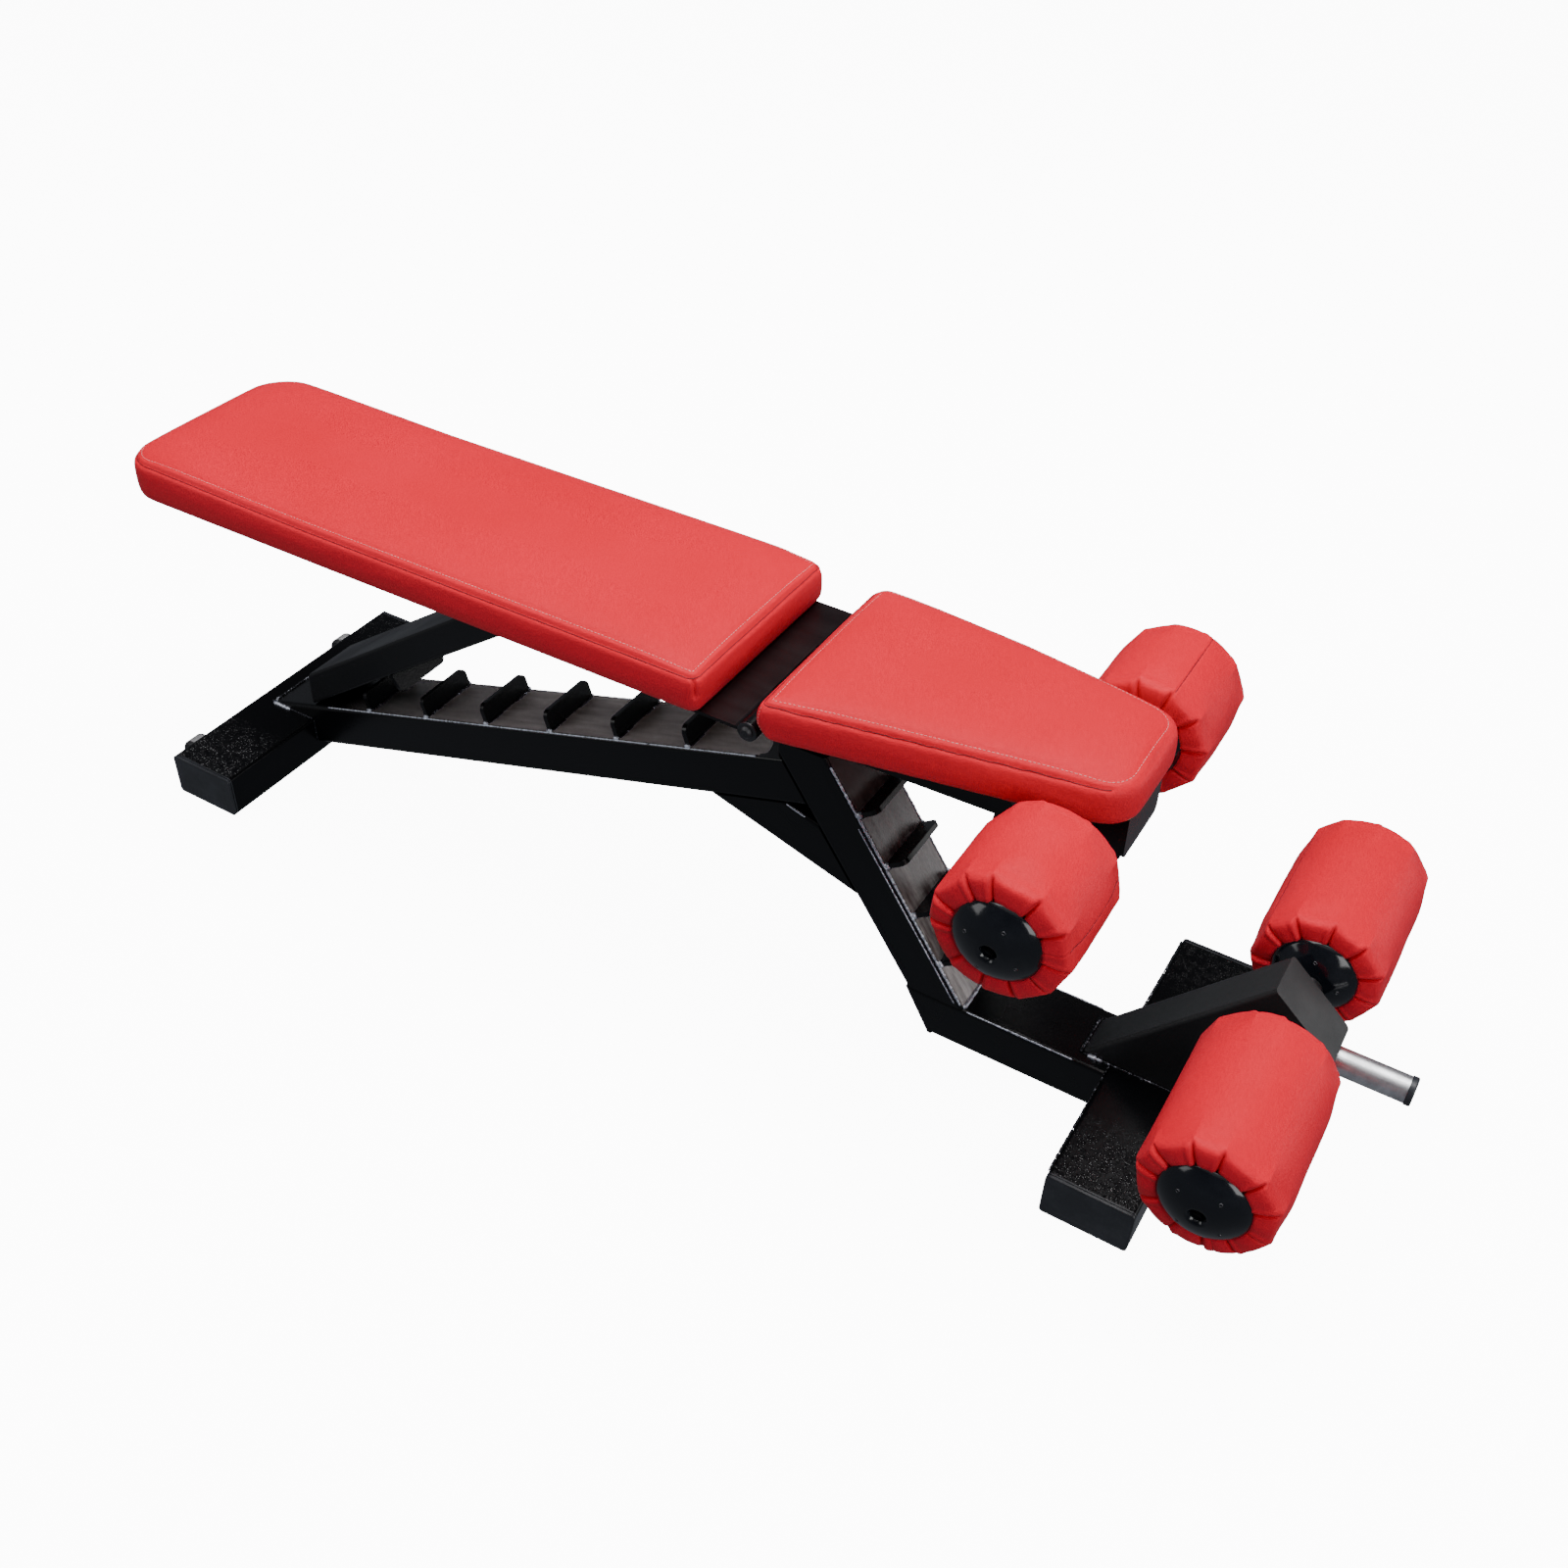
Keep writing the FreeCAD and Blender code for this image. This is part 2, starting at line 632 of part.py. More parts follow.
# The hinge strip ends behind the ears; each sleeve has a leaf that is welded to it.
sleeve_inner_y = ear_inner + ear_thick + 2.0
plate_top = back_under_z - hinge_plate_drop
plate_front_x = pivot_x - ear_r - ear_gap
sleeves = []
for side in (-1, 1):
    low, high = sorted((side * sleeve_inner_y, side * hinge_half_width))
    leaf = Part.makeBox(pivot_x - plate_front_x, high - low, hinge_plate_thick,
                        Vector(plate_front_x, low, plate_top - hinge_plate_thick))
    sleeve = fuse(cross_rod(pivot_x, pivot_z, sleeve_r, low, high), leaf)
    sleeves.append(sleeve.cut(cross_rod(pivot_x, pivot_z, pivot_pin_r + running, -REACH, REACH)))
save("back_hinge_sleeves", group(sleeves))
save("back_hinge_plate", Part.makeBox(plate_front_x - rail_front_x, 2 * hinge_half_width, hinge_plate_thick,
                                      Vector(rail_front_x, -hinge_half_width,
                                             plate_top - hinge_plate_thick)))

lugs = []
for side in (-1, 1):
    low, high = sorted((side * (rail_inner - lug_thick), side * rail_inner))
    lug_top = back_prop_z + lug_half_height
    lug_bottom = back_prop_z - lug_half_height
    lug = profile_prism([(back_prop_x - lug_half_top, lug_top), (back_prop_x + lug_half_top, lug_top),
                         (back_prop_x + lug_half_bottom, lug_bottom),
                         (back_prop_x - lug_half_bottom, lug_bottom)], low, high)
    lugs.append(lug.cut(cross_rod(back_prop_x, back_prop_z, prop_pin_r, -REACH, REACH)))
save("back_prop_lugs", group(lugs))
save("back_prop_pin", cross_rod(back_prop_x, back_prop_z, prop_pin_r, -rail_inner, rail_inner))

# ---- back prop ----------------------------------------------------------------------------
bush_r = 12.0
prop_tube = hollow_bar(700, prop_width, prop_depth, wall, 4.0)
prop_tube.translate(Vector(-700 - pin_end_gap, 0, -prop_depth / 2))
prop_tube = lay(prop_tube, back_prop_x, back_prop_z, back_prop_angle)
ahead_of_tail = [(back_prop_tail_x, 0), (900, 0), (900, 700), (back_prop_tail_x, 700)]
prop_tube = prop_tube.common(profile_prism(ahead_of_tail, -REACH, REACH))
prop_tube = prop_tube.cut(cross_rod(back_prop_x, back_prop_z, bush_r, -REACH, REACH))
save("back_prop_tube", prop_tube)
save("back_prop_bush", cross_tube(back_prop_x, back_prop_z, bush_r, prop_pin_r + running,
                                  -prop_width / 2, prop_width / 2))
lock_plate = stop_plate(0, 0, 180)
lock_plate.translate(Vector(-lock_along, 0, -prop_depth / 2))
save("back_prop_lock_plate", lay(lock_plate, back_prop_x, back_prop_z, back_prop_angle))


# ---- seat and its frame -------------------------------------------------------------------
def seat_half(x):
    share = (x - seat_rear_x) / (seat_front_x - seat_rear_x)
    return seat_rear_half + (seat_front_half - seat_rear_half) * share


def seat_outline(margin):
    rear = seat_rear_x + margin
    front = seat_front_x - margin
    rear_half = seat_half(rear) - margin
    front_half = seat_half(front) - margin
    return [(rear, -rear_half), (front, -front_half), (front, front_half), (rear, rear_half)]


seat_split = (seat_rear_x + seat_front_x) / 2
seat_block = cushion(seat_outline(0), seat_rear_round, seat_front_round, seat_split)
seat_board = plan_prism(seat_outline(board_inset), 0, board_thick)
seat_board = seat_board.makeFillet(seat_front_round - board_round,
                                   upright_edges(seat_board, lambda x: x > seat_split))
save("seat_pad", seat_place(seat_block.cut(seat_board)))

# The channel is open below: both bars hang lower than its lips and are cut off there.
channel_rear_x = seat_rear_x + channel_rear
channel_spare = 20.0
channel = bar(channel_length, spine_width, channel_depth + channel_spare, corner)
channel.translate(Vector(channel_rear_x, 0, -channel_depth - channel_spare))
hollow = bar(channel_length, spine_width - 2 * channel_wall, channel_depth + channel_spare, 1.5)
hollow.translate(Vector(channel_rear_x, 0, -channel_depth - channel_spare - channel_wall))
below = Part.makeBox(channel_length, 2 * spine_width, 3 * channel_spare,
                     Vector(channel_rear_x, -spine_width, -channel_depth - 3 * channel_spare))
channel = channel.cut(hollow).cut(below)
seat_screws = []
for x in seat_screw_x:
    shank, screw = pad_screw(x, 0, -channel_wall, channel_wall)
    seat_screws.append(screw)
    seat_board = seat_board.cut(shank)
    channel = channel.cut(shank)
save("seat_board", seat_place(seat_board))
save("seat_pad_screws", group([seat_place(screw) for screw in seat_screws]))
channel = seat_place(channel)
channel = channel.cut(cross_rod(seat_prop_x, seat_prop_z, prop_pin_r, -REACH, REACH))
channel = channel.cut(cross_rod(upper_axle_x, upper_axle_z, axle_mid_r, -REACH, REACH))
save("seat_channel", channel)
front_plate = Part.makeBox(channel_wall, spine_width, channel_depth,
                           Vector(channel_rear_x + channel_length, -spine_width / 2, -channel_depth))
front_plate = front_plate.makeFillet(stop_corner, [e for e in edges_along(front_plate, Vector(1, 0, 0))
                                                   if e.CenterOfMass.z < -channel_depth / 2])
save("seat_end_plate", seat_place(front_plate))
save("seat_prop_pin", cross_rod(seat_prop_x, seat_prop_z, prop_pin_r, -spine_width / 2, spine_width / 2))

tongue_half = ear_inner - 1.0
tongue_length = 60.0
tongue_thick = 6.0
tongue_low_z = pivot_z - sleeve_r + 0.5
tongue = Part.makeBox(tongue_length, 2 * tongue_half, tongue_thick,
                      Vector(pivot_x + 2, -tongue_half, tongue_low_z))
tongue = tongue.cut(cross_rod(pivot_x, pivot_z, pivot_pin_r + running, -REACH, REACH))
below_channel_top = Part.makeBox(200, 200, 60, Vector(seat_rear_x - 60, -100, -channel_wall - 60))
tongue = tongue.common(seat_place(below_channel_top))
seat_sleeve = cross_tube(pivot_x, pivot_z, sleeve_r, pivot_pin_r + running, -tongue_half, tongue_half)
save("seat_hinge_sleeve", fuse(seat_sleeve, tongue))

# ---- seat prop ----------------------------------------------------------------------------
stop_dir = Vector(-steep_lean, 0, 1).normalize()
stop_out = Vector(stop_dir.z, 0, -stop_dir.x)
low_stop = Vector(steep_front(seat_stop_first_z), 0, seat_stop_first_z)
heel = low_stop + stop_dir * (stop_thick / 2 + 0.7) + stop_out * 1.5
pin = Vector(seat_prop_x, 0, seat_prop_z)
reach = math.hypot(pin.x - heel.x, pin.z - heel.z)
tilt_to_heel = math.degrees(math.atan2(pin.z - heel.z, pin.x - heel.x))
seat_prop_angle = tilt_to_heel + math.degrees(math.asin(prop_depth / 2 / reach))
seat_prop = hollow_bar(600, seat_prop_width, prop_depth, wall, 4.0)
seat_prop.translate(Vector(pin_end_gap - 600, 0, -prop_depth / 2))
seat_prop = lay(seat_prop, seat_prop_x, seat_prop_z, seat_prop_angle)
far_up = heel + stop_dir * 600
seat_prop_region = [(heel.x - stop_out.x * 200, heel.z - stop_out.z * 200),
                    (heel.x + stop_out.x * 200, heel.z + stop_out.z * 200),
                    (far_up.x + stop_out.x * 900, far_up.z + stop_out.z * 900),
                    (far_up.x - stop_out.x * 200, far_up.z - stop_out.z * 200)]
seat_prop = seat_prop.common(profile_prism(seat_prop_region, -REACH, REACH))
seat_prop = seat_prop.cut(cross_rod(seat_prop_x, seat_prop_z, bush_r, -REACH, REACH))
save("seat_prop_tube", seat_prop)
save("seat_prop_bush", cross_tube(seat_prop_x, seat_prop_z, bush_r, prop_pin_r + running,
                                  -seat_prop_width / 2, seat_prop_width / 2))
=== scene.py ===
import math

import bmesh
import bpy
from mathutils import Matrix, Vector, noise
from mathutils.bvhtree import BVHTree
from mathutils.kdtree import KDTree


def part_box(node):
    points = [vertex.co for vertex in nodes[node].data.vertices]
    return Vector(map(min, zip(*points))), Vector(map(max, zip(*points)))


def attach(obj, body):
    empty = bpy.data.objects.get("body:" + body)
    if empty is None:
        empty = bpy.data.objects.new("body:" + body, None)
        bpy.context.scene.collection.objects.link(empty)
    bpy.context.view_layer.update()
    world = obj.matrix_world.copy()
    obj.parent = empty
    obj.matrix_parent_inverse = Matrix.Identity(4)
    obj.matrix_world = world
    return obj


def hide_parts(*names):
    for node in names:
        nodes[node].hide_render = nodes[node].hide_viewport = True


# Decline sit up bench. Metres, in the CAD model's frame: X to the carry handle, Z up.

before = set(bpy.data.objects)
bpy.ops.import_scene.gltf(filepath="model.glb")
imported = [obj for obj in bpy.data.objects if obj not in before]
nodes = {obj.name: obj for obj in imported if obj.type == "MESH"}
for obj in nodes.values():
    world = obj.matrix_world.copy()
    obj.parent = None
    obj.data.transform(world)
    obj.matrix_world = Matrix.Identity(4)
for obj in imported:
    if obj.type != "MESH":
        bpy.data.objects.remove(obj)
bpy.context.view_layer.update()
scene = bpy.context.scene

MIDDLE = 0.7521             # distance from the rear foot's back face to the origin
PAD_THICK = 0.047
SEAM_INSET = 0.0058         # from a pad's outline to its seam
SEAM_Z = PAD_THICK - 0.0026
STITCH_INSET = SEAM_INSET + 0.0085
CROWN = 0.0090              # height of a pad's middle above its seam
CORNER_REACH = 0.050        # how far from its corners a pad is flatter
HEAD_LENGTH = 0.300         # length of the head end, where the back pad grows thicker
SPINE_HALF = 0.047          # half the width of the spine tubes
REAR_SLOPE = 0.32           # rise of the rear spine tube per metre of X
REAR_TOP = 0.0513           # height of its top face at the rear foot's back face
STEEP_LEAN = 0.70           # how far the steep tube's front face goes back per metre of height
STEEP_FRONT = 1.1343        # where that face meets the floor
FEET_TOP = 0.0606           # height of the beads on the feet

BLACK = (0.0032, 0.0034, 0.0042)
GLOSS_SPECULAR = 0.30
GRIT = 760.0                # grains per metre in the paint of the feet


# ---- materials ----
class Shader:
    """A Principled material with short calls for the nodes used here."""

    def __init__(self, name, colour, rough, metallic=0.0, specular=0.5):
        self.material = bpy.data.materials.new(name)
        self.material.use_nodes = True
        self.tree = self.material.node_tree
        self.bsdf = self.tree.nodes["Principled BSDF"]
        self.set("Base Color", (*colour, 1.0))
        self.set("Roughness", rough)
        self.set("Metallic", metallic)
        self.set("Specular IOR Level", specular)
        self.coord = self.tree.nodes.new("ShaderNodeTexCoord").outputs["Object"]

    def set(self, socket, value):
        self.bsdf.inputs[socket].default_value = value

    def link(self, output, target):
        self.tree.links.new(output, target)

    def to(self, socket, output):
        self.link(output, self.bsdf.inputs[socket])

    def node(self, kind, inputs=None, **settings):
        made = self.tree.nodes.new(kind)
        for key, value in settings.items():
            setattr(made, key, value)
        for key, value in (inputs or {}).items():
            if hasattr(value, "is_linked"):
                self.link(value, made.inputs[key])
            else:
                made.inputs[key].default_value = value
        return made

    def stretched(self, scale, turn=(0, 0, 0)):
        made = self.node("ShaderNodeMapping", {"Vector": self.coord, "Scale": scale, "Rotation": turn})
        return made.outputs["Vector"]

    def noise(self, scale, detail=3.0, rough=0.5, vector=None):
        return self.node("ShaderNodeTexNoise", {"Vector": vector or self.coord, "Scale": scale,
                                                "Detail": detail, "Roughness": rough}).outputs["Fac"]

    def cells(self, scale, feature="F1", output="Distance", vector=None):
        return self.node("ShaderNodeTexVoronoi", {"Vector": vector or self.coord, "Scale": scale},
                         feature=feature).outputs[output]

    def span(self, value, low, high, out_low=0.0, out_high=1.0):
        return self.node("ShaderNodeMapRange", {"Value": value, "From Min": low, "From Max": high,
                                                "To Min": out_low, "To Max": out_high}).outputs[0]

    def math(self, operation, first, second=0.0):
        return self.node("ShaderNodeMath", {0: first, 1: second}, operation=operation).outputs[0]

    def blend(self, share, first, second):
        first, second = ((*c, 1.0) if isinstance(c, tuple) else c for c in (first, second))
        return self.node("ShaderNodeMix", {0: share, 6: first, 7: second}, data_type="RGBA").outputs[2]

    def bump(self, height, distance, strength=1.0, under=None):
        inputs = {"Height": height, "Distance": distance, "Strength": strength}
        if under is not None:
            inputs["Normal"] = under
        return self.node("ShaderNodeBump", inputs).outputs["Normal"]

    def part(self, axis):
        """One object coordinate, in metres."""
        return self.node("ShaderNodeSeparateXYZ", {0: self.coord}).outputs[axis]

    def upward(self, low, high):
        """0 where the face leans down past low, 1 where it looks up past high."""
        normal = self.tree.nodes.new("ShaderNodeTexCoord").outputs["Normal"]
        return self.span(self.node("ShaderNodeSeparateXYZ", {0: normal}).outputs[2], low, high)

    def facing(self, direction):
        """1 on faces that look along direction, falling to 0 about 20 degrees away."""
        normal = self.tree.nodes.new("ShaderNodeTexCoord").outputs["Normal"]
        dot = self.node("ShaderNodeVectorMath", {0: normal, 1: direction}, operation="DOT_PRODUCT")
        return self.span(dot.outputs["Value"], 0.93, 0.99)


def paint(name, colour, rough, worn=0.5, specular=0.5):
    """Black paint sprayed on steel: slight orange peel, dust and faint scuffs."""
    s = Shader(name, colour, rough, specular=specular)
    patches = s.noise(9.0, 4.0, 0.6)
    scuffs = s.span(s.noise(60.0, 6.0, 0.7, s.stretched((1.0, 0.25, 1.0))), 0.62, 0.8)
    lighter = tuple(c * 1.9 + 0.006 for c in colour)
    s.to("Base Color", s.blend(s.math("MULTIPLY", scuffs, worn), colour, lighter))
    s.to("Roughness", s.span(s.math("ADD", patches, s.math("MULTIPLY", scuffs, 0.3)), 0.3, 0.9,
                             rough * 0.8, rough * 1.35))
    peel = s.bump(s.noise(420.0, 2.0), 0.0004, 0.25)
    s.to("Normal", s.bump(s.noise(35.0, 2.0), 0.0008, 0.2, peel))
    return s


def spine_paint(name, face_direction, streak_turn, dark, pale, lowest, highest, sheen=0.0,
                black_below=-1.0):
    """Gloss black paint, with painted reflections: pale streaks painted on the face that carries the
    ladder.

    The painted streaks are full strength at the height lowest and gone at the height highest. Below
    black_below the face is plain black again.
    """
    s = paint(name, BLACK, 0.30, specular=GLOSS_SPECULAR)
    above = s.span(s.part("Z"), black_below, black_below + 0.10)
    face = s.math("MULTIPLY", s.facing(face_direction), above)
    reflection_streaks = s.noise(26.0, 6.0, 0.65, s.stretched((0.35, 2.2, 0.35), streak_turn))
    clouds = s.noise(14.0, 4.0, 0.6)
    strength = s.span(s.part("Z"), lowest, highest, 1.0, 0.0)
    share = s.math("MULTIPLY", s.span(reflection_streaks, 0.35, 0.7), strength)
    # Painted reflection: pale streaks on the one face, fading out with height.
    painted_reflection = s.blend(share, dark, pale)
    painted_reflection = s.blend(s.span(clouds, 0.35, 0.65, 0.0, 0.6), painted_reflection, dark)
    s.to("Base Color", s.blend(face, BLACK, painted_reflection))
    extra_sheen = s.math("MULTIPLY", face, s.math("MULTIPLY", strength, sheen))
    s.to("Specular IOR Level", s.math("ADD", extra_sheen, GLOSS_SPECULAR))
    extra_rough = s.math("MULTIPLY", face, s.span(reflection_streaks, 0.3, 0.7, 0.0, 0.16))
    s.to("Roughness", s.math("ADD", extra_rough, 0.27))
    return s


def foot_paint(name):
    """Gloss black, with coarse grit in the paint towards both ends, most of it at the near one; single
    grains are painted pale as painted glints.
    """
    s = paint(name, BLACK, 0.22, specular=0.16)
    reach = s.math("ABSOLUTE", s.part("Y"))
    edge = s.math("ADD", reach, s.span(s.noise(40.0, 3.0), 0.0, 1.0, -0.02, 0.02))
    rough_zone = s.math("MULTIPLY", s.span(edge, 0.100, 0.150), s.facing((0, 0, 1)))
    rough_zone = s.math("MULTIPLY", rough_zone, s.span(s.part("Y"), -0.05, 0.05, 1.0, 0.2))
    spots = s.cells(GRIT)
    clumps = s.span(s.noise(120.0, 4.0, 0.7), 0.40, 0.58)
    grains = s.math("MULTIPLY", s.span(spots, 0.0, 0.6, 1.0, 0.0), clumps)
    height = s.math("MULTIPLY", grains, rough_zone)
    s.to("Normal", s.bump(height, 0.0013, 0.6, s.bump(s.noise(30.0), 0.0008, 0.25)))
    # Painted glints: a share of the grains in the grit is painted pale grey.
    picked = s.node("ShaderNodeSeparateColor", {0: s.cells(GRIT, "F1", "Color")}).outputs[0]
    painted_glint = s.math("MULTIPLY", s.span(spots, 0.30, 0.42, 1.0, 0.0), s.span(picked, 0.76, 0.84))
    painted_glint = s.math("MULTIPLY", painted_glint, s.math("MULTIPLY", rough_zone, clumps))
    s.to("Base Color", s.blend(painted_glint, BLACK, (0.42, 0.42, 0.43)))
    return s


def vinyl(name):
    """Soft red upholstery vinyl with a fine leather grain; where it turns down it is painted paler, a
    painted sheen on the sides.
    """
    s = Shader(name, (0.84, 0.010, 0.031), 0.48, specular=0.12)
    tone = s.noise(7.0, 3.0, 0.5)
    fine = s.noise(900.0, 2.0, 0.6)
    base = s.blend(s.span(tone, 0.3, 0.7), (0.80, 0.009, 0.027), (0.88, 0.011, 0.035))
    # Painted sheen: faces that do not look up get a paler, greyer red.
    base = s.blend(s.upward(-0.2, 0.85), (0.80, 0.031, 0.047), base)
    s.to("Base Color", s.blend(s.span(fine, 0.25, 0.75, 0.0, 0.35), base, (0.70, 0.009, 0.028)))
    grain = s.cells(780.0, "SMOOTH_F1")
    creases = s.span(s.noise(260.0, 5.0, 0.6), 0.35, 0.65)
    s.to("Roughness", s.span(creases, 0.0, 1.0, 0.40, 0.52))
    small = s.bump(grain, 0.00035, 0.55)
    fine_creases = s.bump(creases, 0.0004, 0.30, small)
    s.to("Normal", s.bump(s.noise(24.0, 3.0, 0.6), 0.0012, 0.22, fine_creases))
    return s


def plain_metal(name, colour, rough, brush):
    """Bare or plated steel; brush stretches the fine scratches."""
    s = Shader(name, colour, rough, metallic=1.0)
    lines = s.noise(900.0, 4.0, 0.6, s.stretched(brush))
    stains = s.noise(45.0, 5.0, 0.65)
    darker = tuple(c * 0.62 for c in colour)
    s.to("Base Color", s.blend(s.span(stains, 0.42, 0.72), colour, darker))
    s.to("Roughness", s.span(s.math("ADD", lines, stains), 0.6, 1.4, rough * 0.75, rough * 1.4))
    s.to("Normal", s.bump(lines, 0.0002, 0.35))
    return s


def plastic(name, colour, rough, peel=0.15):
    """Moulded plastic with a faint texture; peel is its strength."""
    s = Shader(name, colour, rough)
    cloud = s.noise(30.0, 4.0, 0.6)
    paler = tuple(c * 1.6 + 0.004 for c in colour)
    s.to("Base Color", s.blend(s.span(cloud, 0.45, 0.75), colour, paler))
    s.to("Roughness", s.span(s.noise(70.0, 5.0, 0.65), 0.35, 0.7, rough * 0.8, rough * 1.3))
    s.to("Normal", s.bump(s.noise(500.0, 3.0), 0.0003, peel))
    return s


def plywood(name):
    """Bare board with its grain along X."""
    s = Shader(name, (0.42, 0.29, 0.17), 0.6)
    grain = s.noise(60.0, 6.0, 0.6, s.stretched((0.12, 1.0, 3.0)))
    s.to("Base Color", s.blend(s.span(grain, 0.3, 0.7), (0.30, 0.19, 0.10), (0.52, 0.38, 0.23)))
    s.to("Roughness", s.span(grain, 0.3, 0.7, 0.5, 0.75))
    s.to("Normal", s.bump(grain, 0.0005, 0.5))
    return s


def thread(name):
    """Pale pink twisted thread."""
    s = Shader(name, (0.80, 0.45, 0.42), 0.6)
    twist = s.noise(1500.0, 2.0)
    s.to("Base Color", s.blend(s.span(twist, 0.3, 0.7), (0.72, 0.30, 0.28), (0.88, 0.62, 0.58)))
    s.to("Normal", s.bump(twist, 0.0002, 0.6))
    return s


def wheel_rubber(name, centre):
    """Grey tread between darker flanges."""
    s = Shader(name, (0.36, 0.36, 0.36), 0.5)
    from_centre = s.math("ABSOLUTE", s.math("SUBTRACT", s.math("ABSOLUTE", s.part("Y")), centre))
    flange = s.span(from_centre, 0.0085, 0.0095)
    grime = s.span(s.noise(120.0, 5.0, 0.7), 0.4, 0.75)
    grey = s.blend(grime, (0.36, 0.36, 0.37), (0.16, 0.155, 0.15))
    s.to("Base Color", s.blend(flange, grey, (0.02, 0.02, 0.022)))
    s.to("Roughness", s.span(grime, 0.0, 1.0, 0.38, 0.7))
    s.to("Normal", s.bump(s.noise(300.0, 4.0), 0.0004, 0.4))
    return s


def weld(name, low, high):
    """Weld beads in gloss black paint, with painted highlights: bright bluish-white patches in the black,
    more of them the lower the span.
    """
    s = Shader(name, (0.30, 0.31, 0.35), 0.25, metallic=0.9)
    # Painted highlights: patches of the bead are made a bright bluish-white metal.
    bead_highlight = s.span(s.noise(120.0, 5.0, 0.7), low, high)
    s.to("Base Color", s.blend(bead_highlight, (0.03, 0.03, 0.036), (0.84, 0.88, 0.98)))
    s.to("Roughness", s.span(bead_highlight, 0.0, 1.0, 0.22, 0.38))
    s.to("Normal", s.bump(s.noise(700.0, 3.0), 0.0004, 0.6))
    return s


REAR_UP = Vector((-REAR_SLOPE, 0, 1)).normalized()
STEEP_OUT = Vector((1, 0, STEEP_LEAN)).normalized()
gloss_paint = paint("gloss_paint", BLACK, 0.26, specular=GLOSS_SPECULAR)
foot_gloss = foot_paint("foot_gloss")
# Painted reflections: pale streaks painted on the top face of the rear tube and the front face of the
# steep tube.
rear_paint = spine_paint("rear_spine_paint", REAR_UP, (0, 0, 0), (0.42, 0.37, 0.365),
                         (0.82, 0.77, 0.76), -0.5, 1.5, black_below=0.10)
steep_paint = spine_paint("steep_spine_paint", STEEP_OUT, (0, math.radians(55), 0),
                          (0.085, 0.050, 0.050), (1.0, 0.99, 0.96), 0.15, 0.31, sheen=0.9)
prop_paint = paint("prop_paint", (0.011, 0.0115, 0.013), 0.38, specular=0.3)
matte_paint = paint("matte_paint", (0.019, 0.0195, 0.0205), 0.50, 0.3, specular=0.35)
strip_paint = spine_paint("strip_paint", Vector((0, 0, 1)), (0, 0, 0), (0.006, 0.0019, 0.0026),
                          (0.010, 0.0048, 0.0056), -0.5, 1.5)
# Beads with more and with fewer painted highlights.
weld_bright = weld("weld_bright", 0.28, 0.46)
weld_dark = weld("weld_dark", 0.56, 0.68)
red_vinyl = vinyl("red_vinyl")
# Painted shade: a dark red tube laid in the grooves of the seams on the pads and rollers.
seam_painted_shade = plastic("seam_painted_shade", (0.17, 0.006, 0.011), 0.6)
thread_pink = thread("thread_pink")
disc_gloss = plastic("disc_gloss", (0.0035, 0.0045, 0.007), 0.13, 0.08)
cap_plastic = plastic("cap_plastic", (0.020, 0.022, 0.027), 0.36, 0.25)
handle_steel = plain_metal("handle_steel", (0.86, 0.86, 0.88), 0.34, (0.05, 1.0, 1.0))
dark_steel = plain_metal("dark_steel", (0.10, 0.10, 0.105), 0.38, (1.0, 0.05, 1.0))
zinc = plain_metal("zinc", (0.55, 0.55, 0.56), 0.30, (1.0, 1.0, 1.0))
disc_screw_steel = plain_metal("disc_screw_steel", (0.12, 0.12, 0.13), 0.32, (1.0, 1.0, 1.0))
dull_nut = plain_metal("dull_nut", (0.13, 0.12, 0.11), 0.45, (1.0, 1.0, 1.0))
board_wood = plywood("board_wood")
core_plastic = plastic("core_plastic", (0.03, 0.03, 0.032), 0.6)
wheel_grey = wheel_rubber("wheel_grey", 0.145)

node_materials = {
    gloss_paint: ["low_spine_tube", "spine_end_plate", "spine_brace_tube", "back_ladder_stops",
                  "seat_ladder_stops", "back_rails", "back_prop_lock_plate", "back_prop_lugs",
                  "seat_channel", "seat_end_plate", "seat_prop_tube", "wheel_brackets",
                  "back_hinge_sleeves", "seat_hinge_sleeve"],
    foot_gloss: ["rear_foot_tube", "front_foot_tube"],
    rear_paint: ["rear_spine_tube"],
    steep_paint: ["steep_spine_tube"],
    prop_paint: ["back_prop_tube"],
    matte_paint: ["front_post_tube", "post_end_plate", "pivot_ears"],
    strip_paint: ["back_hinge_plate"],
    cap_plastic: ["foot_end_caps", "handle_end_cap"],
    handle_steel: ["handle_tube"],
    dark_steel: ["pivot_axle", "back_prop_bush", "back_prop_pin", "seat_prop_bush", "seat_prop_pin",
                 "lower_roller_axle", "upper_roller_axle", "pivot_washers", "pivot_screws"],
    zinc: ["lower_axle_screws", "upper_axle_screws", "back_pad_screws", "seat_pad_screws"],
    dull_nut: ["wheel_bolts", "wheel_nuts"],
    board_wood: ["back_board", "seat_board"],
    wheel_grey: ["near_wheel", "far_wheel"],
    core_plastic: [n for n in nodes if n.endswith("_roller_core")],
    red_vinyl: [n for n in nodes if n.endswith("_pad")],
    disc_gloss: [n for n in nodes if n.endswith("_roller_discs")],
}
for shader, names in node_materials.items():
    for name in names:
        nodes[name].data.materials.clear()
        nodes[name].data.materials.append(shader.material)


# ---- mesh helpers ----
def new_piece(name, bm, shader, body):
    """Turn a bmesh into a piece that rides on a body."""
    mesh = bpy.data.meshes.new(name)
    bmesh.ops.recalc_face_normals(bm, faces=bm.faces)
    bm.to_mesh(mesh)
    bm.free()
    mesh.materials.append(shader.material)
    for face in mesh.polygons:
        face.use_smooth = True
    piece = bpy.data.objects.new(name, mesh)
    scene.collection.objects.link(piece)
    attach(piece, body)
    return piece


